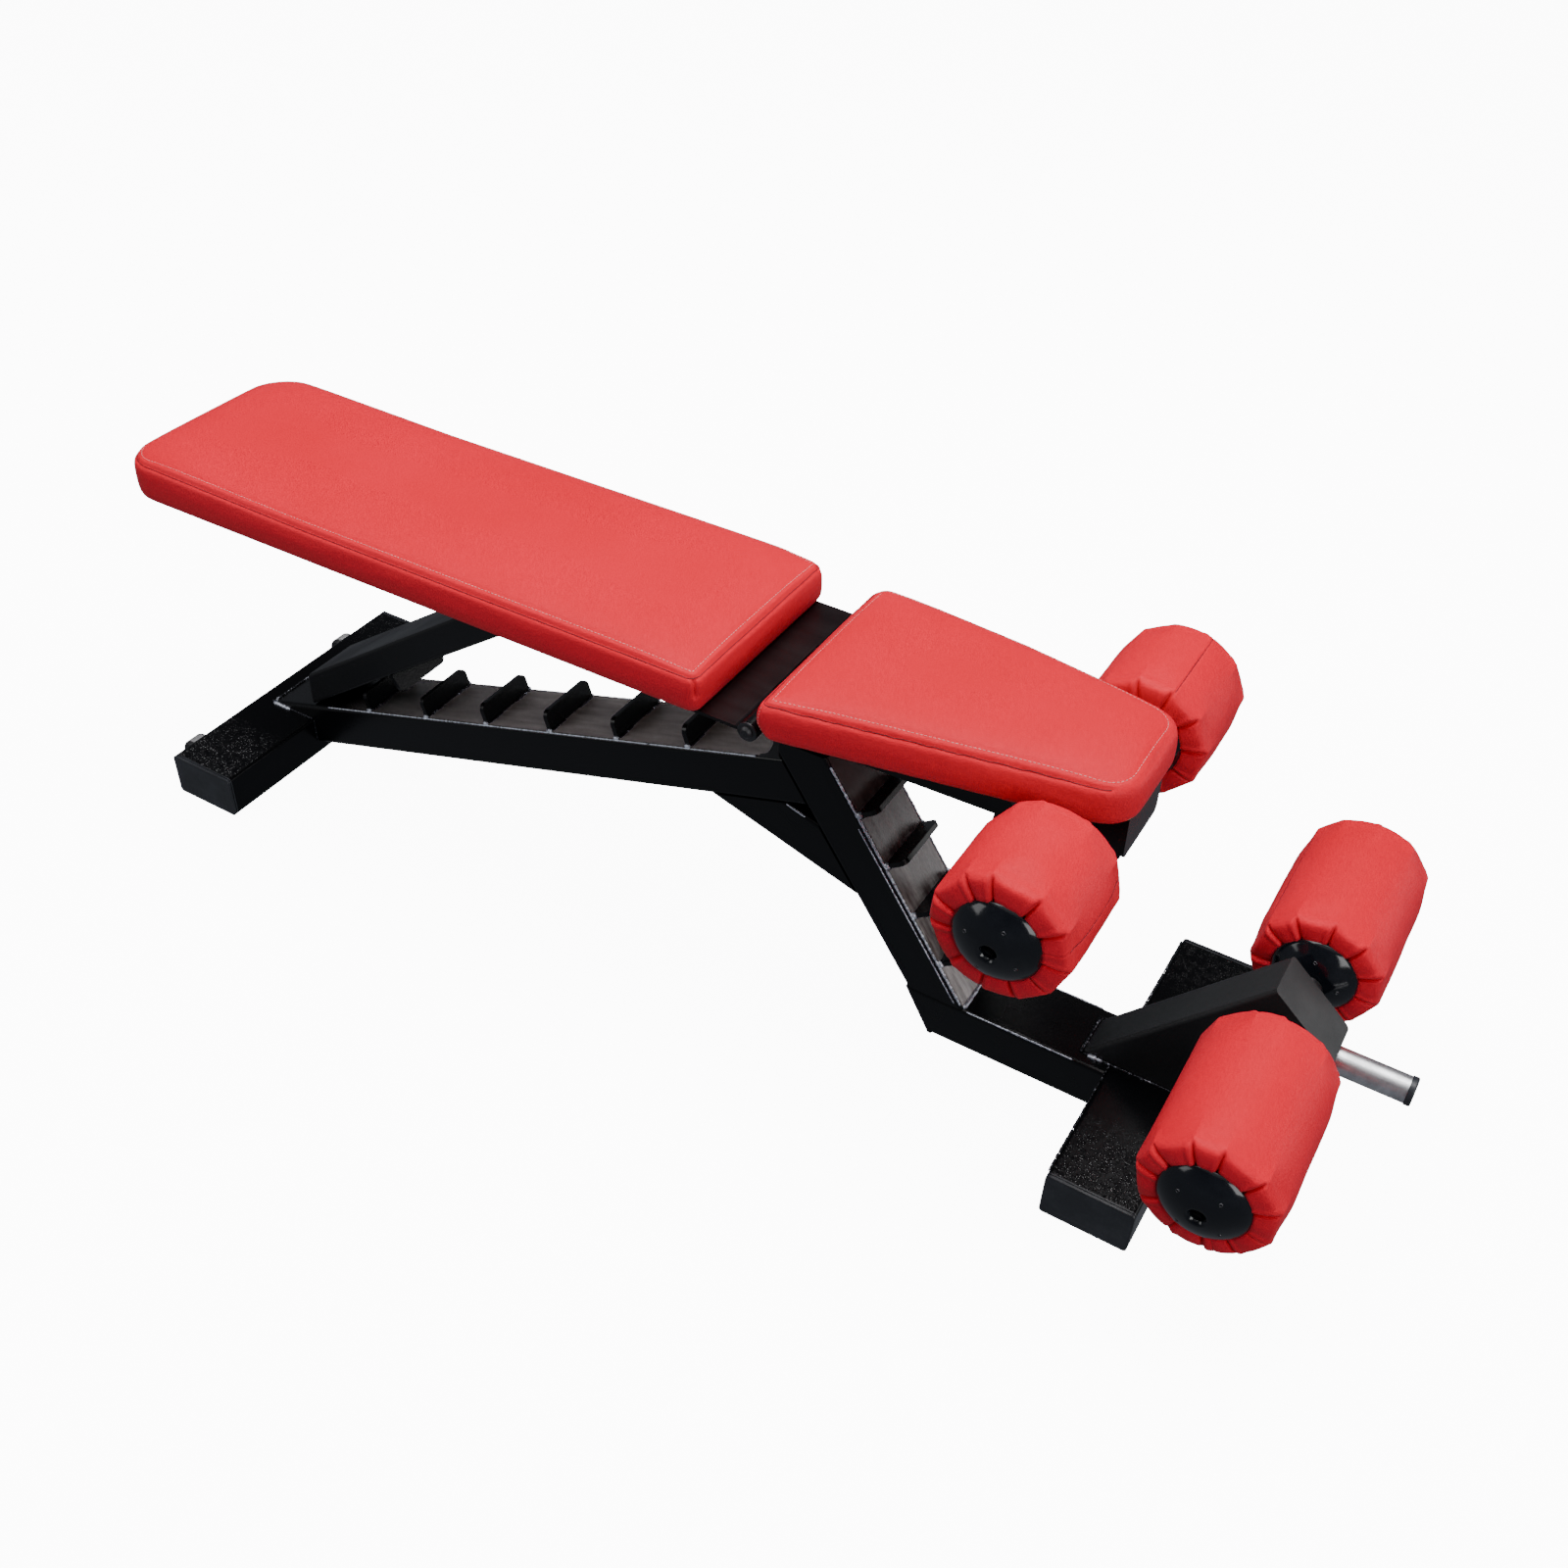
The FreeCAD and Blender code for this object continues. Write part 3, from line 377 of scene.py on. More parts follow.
def bridge(bm, first, second):
    """Faces between two closed rings of as many points."""
    count = len(first)
    for i in range(count):
        j = (i + 1) % count
        bm.faces.new((first[i], first[j], second[j], second[i]))


def bridge_all(bm, rings, closed=False):
    """Faces from each ring to the next, and from the last to the first where closed."""
    for first, second in zip(rings, rings[1:]):
        bridge(bm, first, second)
    if closed:
        bridge(bm, rings[-1], rings[0])


def cap_ends(bm, rings):
    bm.faces.new(rings[0])
    bm.faces.new(rings[-1])


def ring(bm, points):
    """New vertices at points."""
    return [bm.verts.new(p) for p in points]


def turned(bm, profile, around, foot, axis, side, up):
    """Rings of a turned shape from its (radius, distance along the axis) profile."""
    angles = [2 * math.pi * k / around for k in range(around)]
    return [ring(bm, [foot + axis * d + (side * math.cos(a) + up * math.sin(a)) * r for a in angles])
            for r, d in profile]


def offset_corners(corners, inset):
    """Move every edge of a convex anticlockwise outline inwards by inset."""
    count = len(corners)
    moved = []
    for i in range(count):
        before, here, after = (Vector(corners[k % count]) for k in (i - 1, i, i + 1))
        into = (here - before).normalized()
        away = (after - here).normalized()
        half_turn = math.sqrt((1 + into.dot(away)) / 2)
        inward = (Vector((-into.y, into.x)) + Vector((-away.y, away.x))).normalized()
        moved.append(here + inward * (inset / half_turn))
    return moved


def rounded_outline(corners, radii, steps=8):
    """Points of an outline with round corners, the same number at any inset."""
    points = []
    count = len(corners)
    for i in range(count):
        here = Vector(corners[i])
        back = (Vector(corners[i - 1]) - here).normalized()
        ahead = (Vector(corners[(i + 1) % count]) - here).normalized()
        half = back.angle(ahead) / 2
        radius = max(radii[i], 0.0008)
        centre = here + (back + ahead).normalized() * (radius / math.sin(half))
        start = here + back * (radius / math.tan(half)) - centre
        end = here + ahead * (radius / math.tan(half)) - centre
        sweep = start.angle(end)
        for step in range(steps + 1):
            share = step / steps
            mixed = start * math.sin((1 - share) * sweep) + end * math.sin(share * sweep)
            points.append(centre + mixed / math.sin(sweep))
    return points


def walk(points, pitch, closed=True):
    """Evenly spaced (point, direction) pairs along a polyline."""
    line = list(points) + ([points[0]] if closed else [])
    lengths = [(b - a).length for a, b in zip(line, line[1:])]
    count = max(2, round(sum(lengths) / pitch))
    spacing = sum(lengths) / count
    found = []
    target = 0.0
    passed = 0.0
    for a, b, length in zip(line, line[1:], lengths):
        while length > 1e-9 and target <= passed + length and len(found) < count + (0 if closed else 1):
            found.append((a.lerp(b, (target - passed) / length), (b - a).normalized()))
            target += spacing
        passed += length
    return found


def tube_along(bm, points, radius, closed=False, sides=6, wobble=0.0, seed=0.0):
    """A slim tube through 3D points; wobble makes the ripples of a weld bead."""
    rings = []
    count = len(points)
    for i, point in enumerate(points):
        before = points[i - 1] if (closed or i > 0) else point
        after = points[(i + 1) % count] if (closed or i < count - 1) else point
        along = (after - before).normalized()
        side = along.orthogonal().normalized()
        if abs(along.z) < 0.9:
            side = along.cross(Vector((0, 0, 1))).normalized()
        up = side.cross(along)
        size = radius
        if wobble:
            size *= 1 + wobble * noise.noise(point * 400 + Vector((seed, 0, 0)))
        if not closed and i in (0, count - 1):
            size *= 0.45
        angles = [2 * math.pi * k / sides for k in range(sides)]
        rings.append(ring(bm, [point + (side * math.cos(a) + up * math.sin(a)) * size for a in angles]))
    bridge_all(bm, rings, closed)
    if not closed:
        cap_ends(bm, rings)


# ---- pads ----
ABOVE_PAD = 0.08            # a height clear of the pad, to look down from
CLOTH_FRAMES = 20
VOXEL = 0.005
SWELLING = 0.0062           # the most that a point of the cover may move out
SLIGHT_BEND = 0.1           # a corner with a larger radius only bends a pad's side


def remeshed(piece, voxel):
    """Even faces all over; the smoothing takes out the steps along slanting edges."""
    remesh = piece.modifiers.new("remesh", "REMESH")
    remesh.mode = "VOXEL"
    remesh.voxel_size = voxel
    even = piece.modifiers.new("even", "SMOOTH")
    even.factor = 0.5
    even.iterations = 5
    bake(piece)


def bake(piece):
    """Apply all modifiers of a piece to its mesh."""
    graph = bpy.context.evaluated_depsgraph_get()
    made = bpy.data.meshes.new_from_object(piece.evaluated_get(graph))
    piece.modifiers.clear()
    piece.data = made


def inflate(piece, hold, limit):
    """Blow the cushion up as cloth, by less than limit.

    hold(point) is 1 where the cover is sewn or stapled down.
    """
    group = piece.vertex_groups.new(name="held")
    for v in piece.data.vertices:
        group.add([v.index], hold(v.co), "REPLACE")
    start = [v.co.copy() for v in piece.data.vertices]
    cloth = piece.modifiers.new("cloth", "CLOTH")
    settings = cloth.settings
    settings.quality = 6
    settings.use_pressure = True
    settings.uniform_pressure_force = 4.0
    settings.effector_weights.gravity = 0.0
    settings.tension_stiffness = 25.0
    settings.compression_stiffness = 25.0
    settings.shear_stiffness = 12.0
    settings.bending_stiffness = 2.0
    settings.vertex_group_mass = "held"
    cloth.point_cache.frame_start = 1
    cloth.point_cache.frame_end = CLOTH_FRAMES
    for number in range(1, CLOTH_FRAMES + 1):
        scene.frame_set(number)
    bake(piece)
    for v, origin in zip(piece.data.vertices, start):
        moved = v.co - origin
        if moved.length > 1e-9:
            v.co = origin + moved * (limit * math.tanh(moved.length / limit) / moved.length)
    scene.frame_set(1)


def subdivided(piece):
    """One step finer and smoother."""
    smooth = piece.modifiers.new("subdivision", "SUBSURF")
    smooth.levels = 1
    smooth.render_levels = 1
    bake(piece)


def point_tree(points):
    """For finding the nearest of many points."""
    tree = KDTree(len(points))
    for i, p in enumerate(points):
        tree.insert(p, i)
    tree.balance()
    return tree


def crease(piece, lines, depth, width):
    """Pull the surface in along 3D lines, as a seam or a pleat does."""
    tree = point_tree([p for line in lines for p in line])
    normals = [v.normal.copy() for v in piece.data.vertices]
    for v, normal in zip(piece.data.vertices, normals):
        distance = tree.find(v.co)[2]
        if distance < 3 * width:
            v.co -= normal * (depth * math.exp(-(distance / width) ** 2))


def evened(points, closed, reach=4):
    """Each point averaged with its neighbours, which takes small zigzags out of a line."""
    count = len(points)
    found = []
    for i in range(count):
        near = [points[k % count] for k in range(i - reach, i + reach + 1) if closed or 0 <= k < count]
        found.append(sum(near, Vector()) / len(near))
    return found


class Cushion:
    """One pad, made level with its underside at Z = 0, then tilted into place.

    margin is the width of cover stapled under the pad. rear_lean pushes the rear side back,
    rear_rise thickens the rear end, and a pad with a plain_front has no seam or darts there.
    """

    def __init__(self, name, corners, radii, place, body, margin, rear_lean=0.0, rear_rise=0.0,
                 plain_front=False):
        self.name = name
        self.corners = corners
        self.radii = radii
        self.place = place
        self.body = body
        self.margin = margin
        self.rear_lean = rear_lean
        self.rear_rise = rear_rise
        self.plain_front = plain_front
        self.seam_stop = corners[1][0] - 0.022 if plain_front else math.inf
        self.build()

    def outline(self, inset):
        """The pad's outline, drawn in by inset."""
        radii = [max(r - inset, 0.002) for r in self.radii]
        return rounded_outline(offset_corners(self.corners, inset), radii)

    def level_ring(self, inset, z):
        return [Vector((p.x, p.y, z)) for p in self.outline(inset)]

    def build(self):
        """Sew the cover from its cross-section, as (inset, height), then shape and stitch it."""
        top = PAD_THICK
        profile = [(self.margin + 0.002, 0.0022), (self.margin, -0.0008), (0.0085, -0.0008),
                   (0.0040, 0.0010), (0.0022, 0.0050), (0.0018, 0.0140), (0.0018, 0.0300),
                   (0.0030, 0.0390), (SEAM_INSET, SEAM_Z), (0.0100, top - 0.0012),
                   (0.0300, top), (0.0600, top + 0.0006)]
        bm = bmesh.new()
        rings = [ring(bm, self.level_ring(inset, z)) for inset, z in profile]
        bridge_all(bm, rings)
        cap_ends(bm, rings)
        piece = new_piece(self.name + "_cover", bm, red_vinyl, self.body)
        remeshed(piece, VOXEL)
        inflate(piece, self.holding(), SWELLING)
        subdivided(piece)
        for face in piece.data.polygons:
            face.use_smooth = True
        self.shape(piece)
        piece.data.materials.clear()
        piece.data.materials.append(red_vinyl.material)
        self.sew(piece)
        piece.data.transform(self.place)
        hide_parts(self.name)

    def holding(self):
        """A function that is 1 at the stapled underside and along the seam, and 0 elsewhere."""
        seam = [Vector((p.x, p.y, SEAM_Z)) for p, _ in walk(self.outline(SEAM_INSET), 0.004)]
        near_seam = BVHTree.FromPolygons([p.to_tuple() for p in seam],
                                         [(i, (i + 1) % len(seam), i) for i in range(len(seam))])

        def hold(point):
            if point.z < 0.004:
                return 1.0
            if point.x > self.seam_stop:
                return 0.0
            hit = near_seam.find_nearest(point)
            return 1.0 if hit[0] is not None and hit[3] < 0.0045 else 0.0

        return hold

    def leaned(self, point):
        """Push the rear side back, most of all halfway up, and lift the top towards the rear."""
        rear = self.corners[0][0]
        near = max(0.0, 1 - (point.x - rear) / 0.050)
        rise = min(1.0, max(0.0, (point.z - 0.004) / 0.014))
        settle = 1 - 0.35 * min(1.0, max(0.0, (point.z - 0.030) / 0.017))
        head = max(0.0, 1 - (point.x - rear) / HEAD_LENGTH)
        full = min(1.0, max(0.0, (point.z - 0.006) / 0.030))
        return Vector((point.x - self.rear_lean * near * rise * settle, point.y,
                       point.z + self.rear_rise * head * full))

    def corner_stitches(self, bm, surface):
        """Short stitches up the sides, next to both rear corners."""
        rear = self.corners[0][0]
        first = 0.0080
        pitch = 0.0036
        for far in (-1, 1):
            for step in range(9):
                ends = []
                for z in (first + pitch * step, first + pitch * (step + 0.5)):
                    start = self.leaned(Vector((rear + 0.0075, 0, z)))
                    start.y = far * 0.3
                    hit, normal = surface.ray_cast(start, Vector((0, -far, 0)))[:2]
                    if hit:
                        ends.append(hit + normal * 0.0001)
                if len(ends) == 2:
                    tube_along(bm, ends, 0.00045, sides=5)

    def crown(self, piece):
        """Raise the top: steeply just inside the seam, then almost level, and less at the corners."""
        tree = point_tree(self.seam_line)
        sewn_corners = [Vector((c.x, c.y, SEAM_Z))
                        for c, radius in zip(offset_corners(self.corners, SEAM_INSET), self.radii)
                        if radius < SLIGHT_BEND]
        for v in piece.data.vertices:
            if v.co.z > SEAM_Z:
                inside = max(0.0, tree.find(v.co)[2] - 0.0005)
                to_corner = min((v.co - c).length for c in sewn_corners)
                height = CROWN * (1 - 0.8 * math.exp(-(to_corner / CORNER_REACH) ** 2))
                v.co.z += height * (1 - math.exp(-inside / 0.012))

    def shape(self, piece):
        """The crown, the grooves of the seam and the stitching, corner darts and waves in the sides."""
        darts = []
        if not self.plain_front:
            front_corners = offset_corners(self.corners, 0.004)[1:3]
            for corner in front_corners:
                darts.append([Vector((corner.x, corner.y, SEAM_Z - 0.001 * k)) for k in range(22)])
        self.seam_line = [Vector((p.x, p.y, SEAM_Z)) for p, _ in walk(self.outline(SEAM_INSET), 0.0015)]
        self.crown(piece)
        surface = BVHTree.FromObject(piece, bpy.context.evaluated_depsgraph_get())
        sewn, closed = self.sewn_line()
        on_seam = evened([surface.find_nearest(p)[0] for p in sewn], closed)
        crease(piece, [on_seam], depth=0.0016, width=0.0028)
        stitch_line = [Vector((p.x, p.y, ABOVE_PAD)) for p, _ in walk(self.outline(STITCH_INSET), 0.002)]
        on_top = [surface.ray_cast(p, Vector((0, 0, -1)))[0] for p in stitch_line]
        crease(piece, [[p for p in on_top if p]], depth=0.0007, width=0.0026)
        if darts:
            on_corners = [[surface.find_nearest(p)[0] for p in dart] for dart in darts]
            crease(piece, on_corners, depth=0.0046, width=0.0024)
        normals = [v.normal.copy() for v in piece.data.vertices]
        for v, normal in zip(piece.data.vertices, normals):
            wave = noise.noise(Vector((v.co.x * 16, v.co.y * 16, v.co.z * 60)))
            side = max(0.0, 1 - abs(v.co.z - 0.028) / 0.02)
            v.co = self.leaned(v.co + normal * (0.0007 * wave * side))
        self.seam_line = [self.leaned(p) for p in self.seam_line]

    def sewn_line(self):
        """The seam's points, starting after its gap at a plain front, and whether it is closed."""
        gap = [i for i, p in enumerate(self.seam_line) if p.x > self.seam_stop]
        if not gap:
            return self.seam_line, True
        turned = self.seam_line[gap[0]:] + self.seam_line[:gap[0]]
        return [p for p in turned if p.x <= self.seam_stop], False

    def sew(self, piece):
        """Painted shade along the seam, a dark tube in its groove, and the pale top stitching inside it.
        """
        surface = BVHTree.FromObject(piece, bpy.context.evaluated_depsgraph_get())
        bm = bmesh.new()
        line_points, closed = self.sewn_line()
        raised = []
        for p in line_points:
            hit, normal = surface.find_nearest(p)[:2]
            raised.append(hit + normal * 0.0003)
        tube_along(bm, evened(raised, closed), 0.00050, closed=closed)
        line = new_piece(self.name + "_seam", bm, seam_painted_shade, self.body)
        line.data.transform(self.place)
        bm = bmesh.new()
        for point, along in walk(self.outline(STITCH_INSET), 0.0046):
            start = self.leaned(Vector((point.x, point.y, PAD_THICK)))
            start.z = ABOVE_PAD
            reach = Vector((along.x, along.y, 0)) * 0.0016
            ends = []
            for end in (start - reach, start, start + reach):
                hit, normal = surface.ray_cast(end, Vector((0, 0, -1)))[:2]
                if hit:
                    ends.append(hit + normal * 0.0001)
            if len(ends) == 3:
                tube_along(bm, ends, 0.00042, sides=5)
        if self.rear_lean:
            self.corner_stitches(bm, surface)
        stitches = new_piece(self.name + "_stitching", bm, thread_pink, self.body)
        stitches.data.transform(self.place)


def tilted(hinge_x, under_z, degrees):
    """Lift a level pad to under_z and turn it about its inner end."""
    return (Matrix.Translation((hinge_x, 0, under_z)) @ Matrix.Rotation(math.radians(-degrees), 4, "Y")
            @ Matrix.Translation((-hinge_x, 0, 0)))


back_rear = -0.060 - MIDDLE
back_front = 0.787 - MIDDLE
back_half = 0.140
back_far = back_half + 0.004
back_corners = [(back_rear, -back_half), (back_front, -back_half), (back_front, back_half - 0.002),
                (back_front - 0.060, back_far), (back_rear, back_far)]
Cushion("back_pad", back_corners, (0.046, 0.013, 0.016, 0.150, 0.060), tilted(back_front, 0.414, 0.56),
        "backrest", margin=0.022, rear_rise=0.006)
seat_rear = 0.856 - MIDDLE
seat_front = 1.242 - MIDDLE
seat_middle = (seat_rear + seat_front) / 2
seat_corners = [(seat_rear, -0.135), (seat_front, -0.075), (seat_front, 0.080), (seat_middle, 0.117),
                (seat_rear, 0.142)]
Cushion("seat_pad", seat_corners, (0.012, 0.044, 0.044, 0.500, 0.020), tilted(seat_rear, 0.411, 1.8),
        "seat", margin=0.012, rear_lean=0.009, plain_front=True)


# ---- rollers ----
PLEATS = 11
VALLEY = 0.0037             # depth of a pleat
LIP = 0.0014                # height of the lip beside it
LOBE = 0.0020               # and of the swelling between two pleats
GROOVE = 0.0007             # depth of the lengthwise seam
LUMPS = 0.0006              # unevenness all over the sleeve
FULLER = 0.0006             # how much larger the sleeve is than the CAD pad
AROUND = 396                # points round a sleeve
END_DEPTH = 0.016           # how far the rounded end of a sleeve reaches along it
END_FULLNESS = 3.8          # 2 would be an ellipse, more is squarer
FADE = 0.028                # along the sleeve, from cornered ends to a round middle
FACE_R = 0.043              # radius where the sleeve goes under its discs


def end_profile(radius, length):
    """(depth, radius, strength of the pleats, cornering) from one end of a sleeve to its middle."""
    steps = []
    end_steps = 26
    middle_steps = 16
    for step in range(end_steps + 1):
        share = step / end_steps
        a = math.pi / 2 * share
        depth = END_DEPTH * (1 - math.cos(a) ** (2 / END_FULLNESS))
        r = FACE_R + (radius - FACE_R) * math.sin(a) ** (2 / END_FULLNESS)
        steps.append((depth, r, min(1.0, max(0.0, (0.80 - share) / 0.35)), min(1.0, share / 0.7)))
    for step in range(1, middle_steps + 1):
        share = step / middle_steps
        depth = END_DEPTH + (length / 2 - END_DEPTH) * share
        gone = min(1.0, (depth - END_DEPTH) / FADE)
        steps.append((depth, radius, 0.0, (1 - gone) ** 1.8))
    return steps


class Roller:
    """Gathered vinyl sleeve with two domed end discs and their screws."""

    def __init__(self, name, pleat_shift, seam_angle):
        low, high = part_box(name + "_roller_core")
        pad_low, pad_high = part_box(name + "_roller_pad")
        self.name = name
        self.body = name + "_roller"
        self.pleat_shift = pleat_shift
        self.seam_angle = seam_angle
        self.centre = Vector(((low.x + high.x) / 2, 0, (low.z + high.z) / 2))
        self.y_low = low.y
        self.y_high = high.y
        self.length = high.y - low.y
        gap = 2 * math.pi / PLEATS
        self.pleats = [gap * (k + 0.30 * noise.noise(Vector((k * 3.1, pleat_shift, 0)))) + pleat_shift
                       for k in range(PLEATS)]
        radius = (pad_high.z - pad_low.z) / 2 + FULLER
        half = end_profile(radius, self.length)
        self.profile = half + [(self.length - d, r, g, f) for d, r, g, f in reversed(half[:-1])]
        self.make_cover()
        self.make_seam()
        self.make_discs()

    def between(self, angle):
        """Angles on from the pleat before and on to the pleat after."""
        passed = min((angle - p) % (2 * math.pi) for p in self.pleats)
        ahead = min((p - angle) % (2 * math.pi) for p in self.pleats)
        return passed, ahead

    def chord(self, angle):
        """Radius of a polygon with a corner at every pleat, as a share of the corner's radius."""
        passed, ahead = self.between(angle)
        half = (passed + ahead) / 2
        return math.cos(half) / math.cos(passed - half)

    def groove(self, angle):
        """1 on the lengthwise seam, falling to 0 beside it."""
        turn = (angle - self.seam_angle + math.pi) % (2 * math.pi) - math.pi
        return math.exp(-(turn / 0.012) ** 2)

    def fold(self, angle):
        """Sharp valley at a pleat, a rolled lip beside it and a soft lobe up to the next pleat."""
        passed, ahead = self.between(angle)
        valley = math.exp(-(min(passed, ahead) / 0.026) ** 2)
        lip = math.exp(-((passed - 0.085) / 0.055) ** 2)
        lobe = math.sin(math.pi * passed / (passed + ahead)) if passed + ahead > 0 else 0.0
        return -VALLEY * valley + LIP * lip + LOBE * lobe

    def make_cover(self):
        """The sleeve, ring by ring, with its folds pushed square to the surface."""
        columns = []
        for k in range(AROUND):
            a = 2 * math.pi * k / AROUND
            columns.append((math.cos(a), math.sin(a), self.chord(a), self.fold(a), self.groove(a)))
        rings = []
        bm = bmesh.new()
        last = len(self.profile) - 1
        for i, (depth, base, gather, flat) in enumerate(self.profile):
            before = self.profile[max(i - 1, 0)]
            after = self.profile[min(i + 1, last)]
            along = Vector((after[0] - before[0], after[1] - before[1])).normalized()
            out_depth, out_r = -along.y, along.x
            points = []
            for cos_a, sin_a, chord_a, fold_a, groove_a in columns:
                place = Vector((cos_a * 2.2, depth * 22, sin_a * 2.2 + self.pleat_shift))
                push = gather * fold_a - GROOVE * groove_a + LUMPS * noise.noise(place)
                r = base * (1 - flat * (1 - chord_a)) + push * out_r
                points.append(self.centre + Vector((r * cos_a, self.y_low + depth + push * out_depth,
                                                    r * sin_a)))
            rings.append(ring(bm, points))
        bridge_all(bm, rings, closed=True)
        sleeve = new_piece(self.body + "_cover", bm, red_vinyl, self.body)
        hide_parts(self.name + "_roller_pad")

    def make_seam(self):
        """Painted shade in the groove: a dark line between the rounded ends."""
        bm = bmesh.new()
        chord_there = self.chord(self.seam_angle)
        fold_there = self.fold(self.seam_angle)
        points = []
        for depth, base, gather, flat in self.profile:
            if END_DEPTH * 0.5 < depth < self.length - END_DEPTH * 0.5:
                r = base * (1 - flat * (1 - chord_there)) + gather * fold_there - 0.0006
                points.append(self.centre + Vector((r * math.cos(self.seam_angle), self.y_low + depth,
                                                    r * math.sin(self.seam_angle))))
        tube_along(bm, points, 0.0005, sides=5)
        new_piece(self.body + "_seam", bm, seam_painted_shade, self.body)

    def make_discs(self):
        """A domed disc at each end: the outer one with a recess, the inner one with the axle's bore."""
        bm = bmesh.new()
        screw_bm = bmesh.new()
        is_far = self.y_low > 0
        for end, out in ((self.y_low, -1), (self.y_high, 1)):
            dome_disc(bm, self.centre, end, out, outer=(out > 0) == is_far)
            for k in range(DISC_SCREWS):
                angle = math.radians(90 * k + 38) + self.pleat_shift
                disc_screw(screw_bm, self.centre, end, out, angle)
        discs = new_piece(self.body + "_domes", bm, disc_gloss, self.body)
        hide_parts(self.name + "_roller_discs")
        new_piece(self.body + "_screws", screw_bm, disc_screw_steel, self.body)


DISC_R = 0.0465
DISC_SCREWS = 4
DOME = 0.020                # height of a dome above its rim
RIM = 0.0020
DOME_SPHERE = (DISC_R ** 2 + DOME ** 2) / (2 * DOME)


def dome_rise(r):
    """Height of the dome's surface at radius r."""
    return RIM + math.sqrt(DOME_SPHERE ** 2 - r ** 2) - DOME_SPHERE + DOME


def dome_disc(bm, centre, end, out, outer):
    """Turned profile: rim, dome and either a countersunk recess or a bore for the axle."""
    profile = [(DISC_R - 0.0015, 0.0), (DISC_R - 0.0004, 0.0003), (DISC_R, RIM * 0.6),
               (DISC_R - 0.0003, RIM)]
    dome_steps = 18
    start = DISC_R - 0.0009
    stop = 0.0105 if outer else 0.0140
    for step in range(1, dome_steps + 1):
        r = start - (start - stop) * step / dome_steps
        profile.append((r, dome_rise(r)))
    top = profile[-1][1]
    if outer:
        profile += [(0.0098, top - 0.0004), (0.0075, top - 0.0032), (0.0071, top - 0.0040),
                    (0.0070, 0.0080), (0.0189, 0.0078), (0.0189, 0.0)]
    else:
        profile += [(0.0133, top - 0.0003), (0.0131, top - 0.0010), (0.0131, 0.0)]
    rings = turned(bm, profile, 96, centre + Vector((0, end, 0)), Vector((0, out, 0)),
                   Vector((1, 0, 0)), Vector((0, 0, 1)))
    bridge_all(bm, rings, closed=True)


def disc_screw(bm, centre, end, out, angle):
    """A small pan head with a hexagon socket, square to the dome."""
    place_r = 0.029
    lean = math.asin(place_r / DOME_SPHERE)
    outward = Vector((math.cos(angle), 0, math.sin(angle)))
    axis = Vector((0, out, 0))
    normal = outward * math.sin(lean) + axis * math.cos(lean)
    foot = centre + Vector((0, end, 0)) + outward * place_r + axis * dome_rise(place_r)
    side = normal.orthogonal().normalized()
    up = normal.cross(side)
    profile = [(0.0022, -0.0016), (0.0023, -0.0001), (0.0020, 0.0004), (0.0016, 0.0005),
               (0.0011, 0.0005), (0.0010, -0.0006)]
    rings = turned(bm, profile, 12, foot, normal, side, up)
    bridge_all(bm, rings)
    cap_ends(bm, rings)


Roller("lower_near", 0.30, math.radians(-70))
Roller("lower_far", 0.95, math.radians(150))
Roller("upper_near", 0.55, math.radians(12))
Roller("upper_far", 0.10, math.radians(70))


# ---- weld beads ----
def rear_point(x, y, lift=0.0):
    """On the rear spine tube's top face, X measured from the rear foot's back face."""
    return Vector((x - MIDDLE, y, REAR_TOP + REAR_SLOPE * x)) + REAR_UP * lift


def steep_point(z, y, lift=0.0):
    """On the steep spine tube's front face, at height z."""
    return Vector((STEEP_FRONT - STEEP_LEAN * z - MIDDLE, y, z)) + STEEP_OUT * lift


def on_base(x, y, z):
    """A point given by its X from the rear foot's back face."""
    return Vector((x - MIDDLE, y, z))


EDGE = SPINE_HALF - 0.0018
BACK_STOPS = 6
BACK_STOP_X = 0.2066        # the back ladder's rearmost stop
BACK_STOP_PITCH = 0.1011
SEAT_STOPS = 4
SEAT_STOP_Z = 0.1127        # the seat ladder's lowest stop
SEAT_STOP_PITCH = 0.0561
STEEP_FOOT_Z = 0.0612       # where the steep tube meets the low one
FOOT_FRONT_X = 0.1003       # front face of the rear foot
FRONT_FOOT_X = 1.2668       # rear face of the front foot

bright_beads = bmesh.new()
dark_beads = bmesh.new()


def bead(target, first, last, radius, wobble=0.55):
    """A rippled bead from one point to another."""
    points = [p for p, _ in walk([first, last], 0.0016, closed=False)]
    tube_along(target, points, radius, wobble=wobble, seed=first.x * 90)


def tube_beads(side):
    """Along the edges of the spine tubes, and up the walls that meet the feet."""
    y = side * EDGE
    wall = side * SPINE_HALF
    bead(bright_beads, rear_point(0.130, y, -0.001), rear_point(0.806, y, -0.001), 0.0011)
    bead(bright_beads, steep_point(0.335, y, -0.001), steep_point(0.064, y, -0.001), 0.0017)
    bead(bright_beads, steep_point(0.270, wall, -0.0065), steep_point(0.068, wall, -0.0065), 0.0010)
    bead(bright_beads, on_base(1.096, y, 0.0590), on_base(1.230, y, 0.0590), 0.0011)
    bead(bright_beads, on_base(0.8475, wall, 0.2590), on_base(0.8740, wall, 0.2508), 0.0012)
    bead(dark_beads, on_base(FOOT_FRONT_X, wall, 0.022), on_base(FOOT_FRONT_X, wall, 0.060), 0.0014)
    bead(dark_beads, on_base(FRONT_FOOT_X, wall, 0.004), on_base(FRONT_FOOT_X, wall, 0.058), 0.0014)


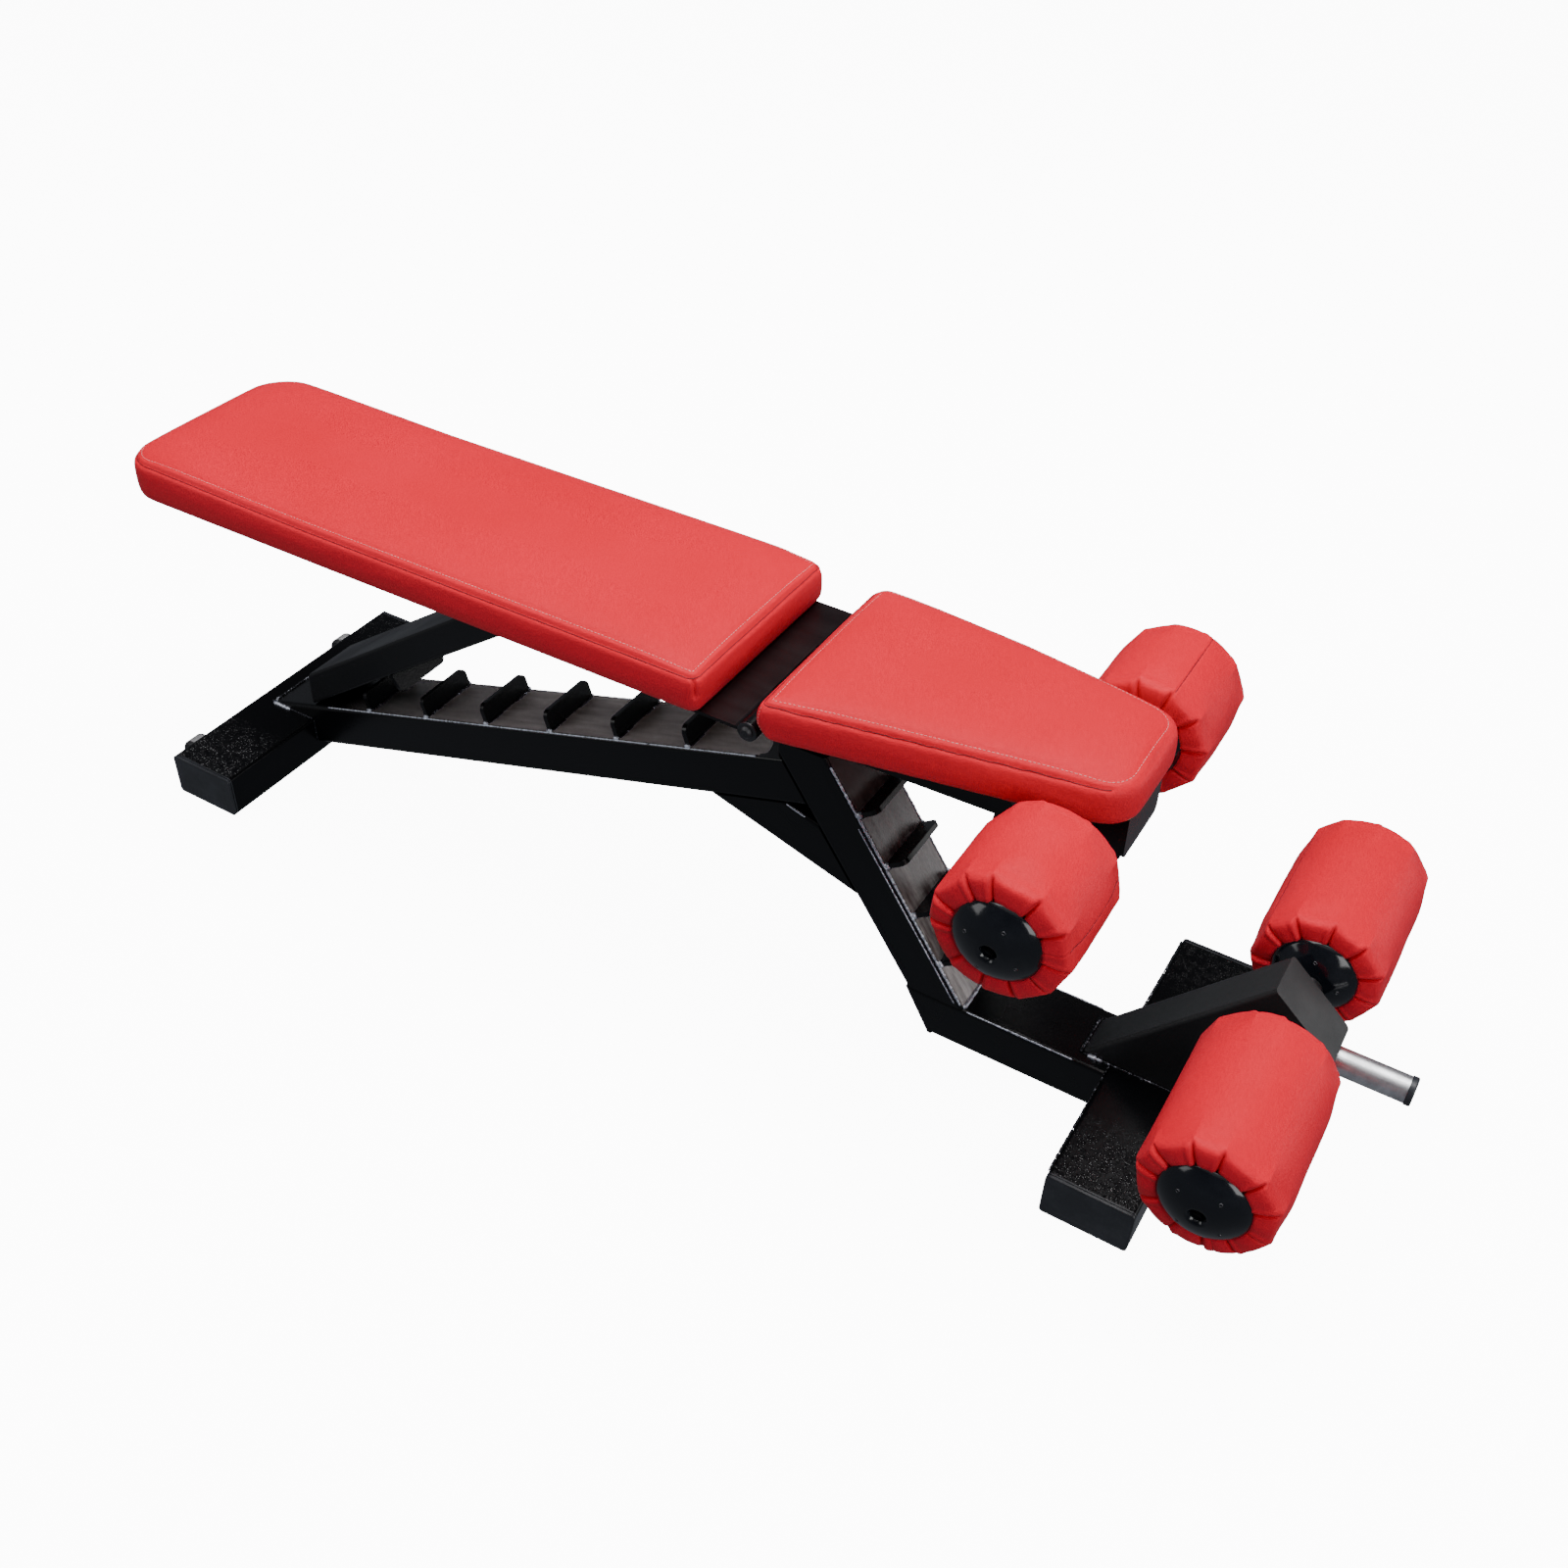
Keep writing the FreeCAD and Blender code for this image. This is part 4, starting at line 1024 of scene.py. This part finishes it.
def stop_beads(side):
    """A bright dab at the end of each stop and a dark bead along its root."""
    for k in range(BACK_STOPS):
        x = BACK_STOP_X + BACK_STOP_PITCH * k
        root = x + 0.0035
        bead(bright_beads, rear_point(x - 0.004, side * 0.043, 0.0012),
             rear_point(x + 0.004, side * 0.0438, 0.0012), 0.0026)
        bead(dark_beads, rear_point(root, side * 0.041, 0.0002), rear_point(root, side * 0.014, 0.0002),
             0.0015)
    for k in range(SEAT_STOPS):
        z = SEAT_STOP_Z + SEAT_STOP_PITCH * k
        root = z - 0.0038
        bead(bright_beads, steep_point(z - 0.003, side * 0.043, 0.0012),
             steep_point(z + 0.004, side * 0.0438, 0.0012), 0.0030)
        bead(dark_beads, steep_point(root, side * 0.041, 0.0002), steep_point(root, side * 0.016, 0.0002),
             0.0015)


def across(target, x, half, radius, wobble=0.55):
    """On top of a foot, across the end of a tube."""
    bead(target, on_base(x, -half, FEET_TOP), on_base(x, half, FEET_TOP), radius, wobble)


def foot_beads(side):
    """Beside the tubes that stand on the feet, and along the front foot's rear edge."""
    for target, rear, front, y, radius, wobble in (
            (dark_beads, 1.234, 1.364, 0.0305, 0.0020, 0.7),
            (dark_beads, 0.024, 0.098, 0.0475, 0.0024, 0.8),
            (bright_beads, 0.028, 0.060, 0.0485, 0.0028, 0.9),
            (bright_beads, 1.240, 1.258, 0.0312, 0.0028, 0.9)):
        bead(target, on_base(rear, side * y, FEET_TOP), on_base(front, side * y, FEET_TOP), radius,
             wobble)
    bead(dark_beads, on_base(FRONT_FOOT_X, side * 0.030, 0.0604),
         on_base(FRONT_FOOT_X, side * 0.200, 0.0590), 0.0012, 0.7)


for side in (-1, 1):
    tube_beads(side)
    stop_beads(side)
bead(bright_beads, steep_point(STEEP_FOOT_Z, -0.044, 0.0006), steep_point(STEEP_FOOT_Z, 0.044, 0.0006),
     0.0026)
across(dark_beads, 0.0275, 0.044, 0.0022)
across(dark_beads, 1.2320, 0.031, 0.0030, 0.8)
for side in (-1, 1):
    foot_beads(side)
new_piece("weld_beads", bright_beads, weld_bright, "frame")
new_piece("painted_beads", dark_beads, weld_dark, "frame")


# ---- floor, light, camera ----
FLOOR_REACH = 12.0


def paper_floor():
    """White paper under the bench, lit from within so that no shadow shows on it."""
    bm = bmesh.new()
    bm.faces.new([bm.verts.new((x * FLOOR_REACH, y * FLOOR_REACH, 0.0))
                  for x, y in ((-1, -1), (1, -1), (1, 1), (-1, 1))])
    mesh = bpy.data.meshes.new("floor")
    bm.to_mesh(mesh)
    bm.free()
    floor = bpy.data.objects.new("floor", mesh)
    scene.collection.objects.link(floor)
    shader = Shader("floor_paper", (0.93, 0.93, 0.93), 0.9, specular=0.1)
    shader.set("Emission Color", (1.0, 1.0, 1.0, 1.0))
    shader.set("Emission Strength", 11.0)
    mesh.materials.append(shader.material)
    floor.visible_glossy = False
    floor.visible_diffuse = False


def studio_world():
    """Bright overhead, dark below that and dim at the horizon, but plain white to the camera."""
    world = bpy.data.worlds.new("studio")
    scene.world = world
    world.use_nodes = True
    tree = world.node_tree
    coord = tree.nodes.new("ShaderNodeTexCoord").outputs["Generated"]
    split = tree.nodes.new("ShaderNodeSeparateXYZ")
    tree.links.new(coord, split.inputs[0])
    ramp = tree.nodes.new("ShaderNodeValToRGB")
    tree.links.new(split.outputs[2], ramp.inputs[0])
    stops = ramp.color_ramp.elements
    stops[0].position = 0.0
    stops[0].color = (0.15, 0.16, 0.18, 1)
    stops[1].position = 0.95
    stops[1].color = (0.75, 0.76, 0.78, 1)
    stops.new(0.72).color = (0.05, 0.05, 0.055, 1)
    path = tree.nodes.new("ShaderNodeLightPath").outputs["Is Camera Ray"]
    mix = tree.nodes.new("ShaderNodeMix")
    mix.data_type = "RGBA"
    tree.links.new(path, mix.inputs[0])
    tree.links.new(ramp.outputs[0], mix.inputs[6])
    mix.inputs[7].default_value = (12.0, 12.0, 12.0, 1)
    tree.links.new(mix.outputs[2], tree.nodes["Background"].inputs[0])


def softbox(name, location, target, size, power):
    """A rectangular lamp turned towards a target."""
    light = bpy.data.lights.new(name, "AREA")
    light.shape = "RECTANGLE"
    light.size, light.size_y = size
    light.energy = power
    light.color = (1, 1, 1)
    lamp = bpy.data.objects.new(name, light)
    lamp.location = location
    lamp.rotation_mode = "QUATERNION"
    lamp.rotation_quaternion = (Vector(target) - Vector(location)).to_track_quat("-Z", "Y")
    scene.collection.objects.link(lamp)


def camera_view():
    """From the near side, level with the carry handle, down on the bench, and slightly rolled."""
    lens = bpy.data.cameras.new("camera")
    lens.sensor_width = 36.0
    lens.lens = 37.9
    lens.clip_start = 0.05
    lens.clip_end = 100.0
    camera = bpy.data.objects.new("camera", lens)
    scene.collection.objects.link(camera)
    scene.camera = camera
    place = on_base(1.5309, -1.2838, 1.4712)
    turn = 0.50745
    rise = 0.69707
    roll = 0.04712
    back = Vector((math.sin(turn) * math.cos(rise), -math.cos(turn) * math.cos(rise), math.sin(rise)))
    right = (-back).cross(Vector((0, 0, 1))).normalized()
    up = right.cross(-back)
    rolled_right = right * math.cos(roll) + up * math.sin(roll)
    rolled_up = up * math.cos(roll) - right * math.sin(roll)
    axes = Matrix((rolled_right, rolled_up, back)).transposed()
    camera.matrix_world = Matrix.LocRotScale(place, axes, None)


paper_floor()
studio_world()
softbox("overhead", (-0.2, 0.3, 3.2), (0, 0, 0.2), (3.2, 2.4), 122)
softbox("front_right", (3.0, -1.6, 1.8), (0.3, 0, 0.2), (1.6, 1.6), 40)
softbox("front", (2.7, 1.8, 0.7), (0.3, 0, 0.2), (1.6, 1.4), 14)
softbox("left", (-2.6, -2.2, 1.6), (-0.2, 0, 0.2), (1.4, 1.4), 16)

camera_view()
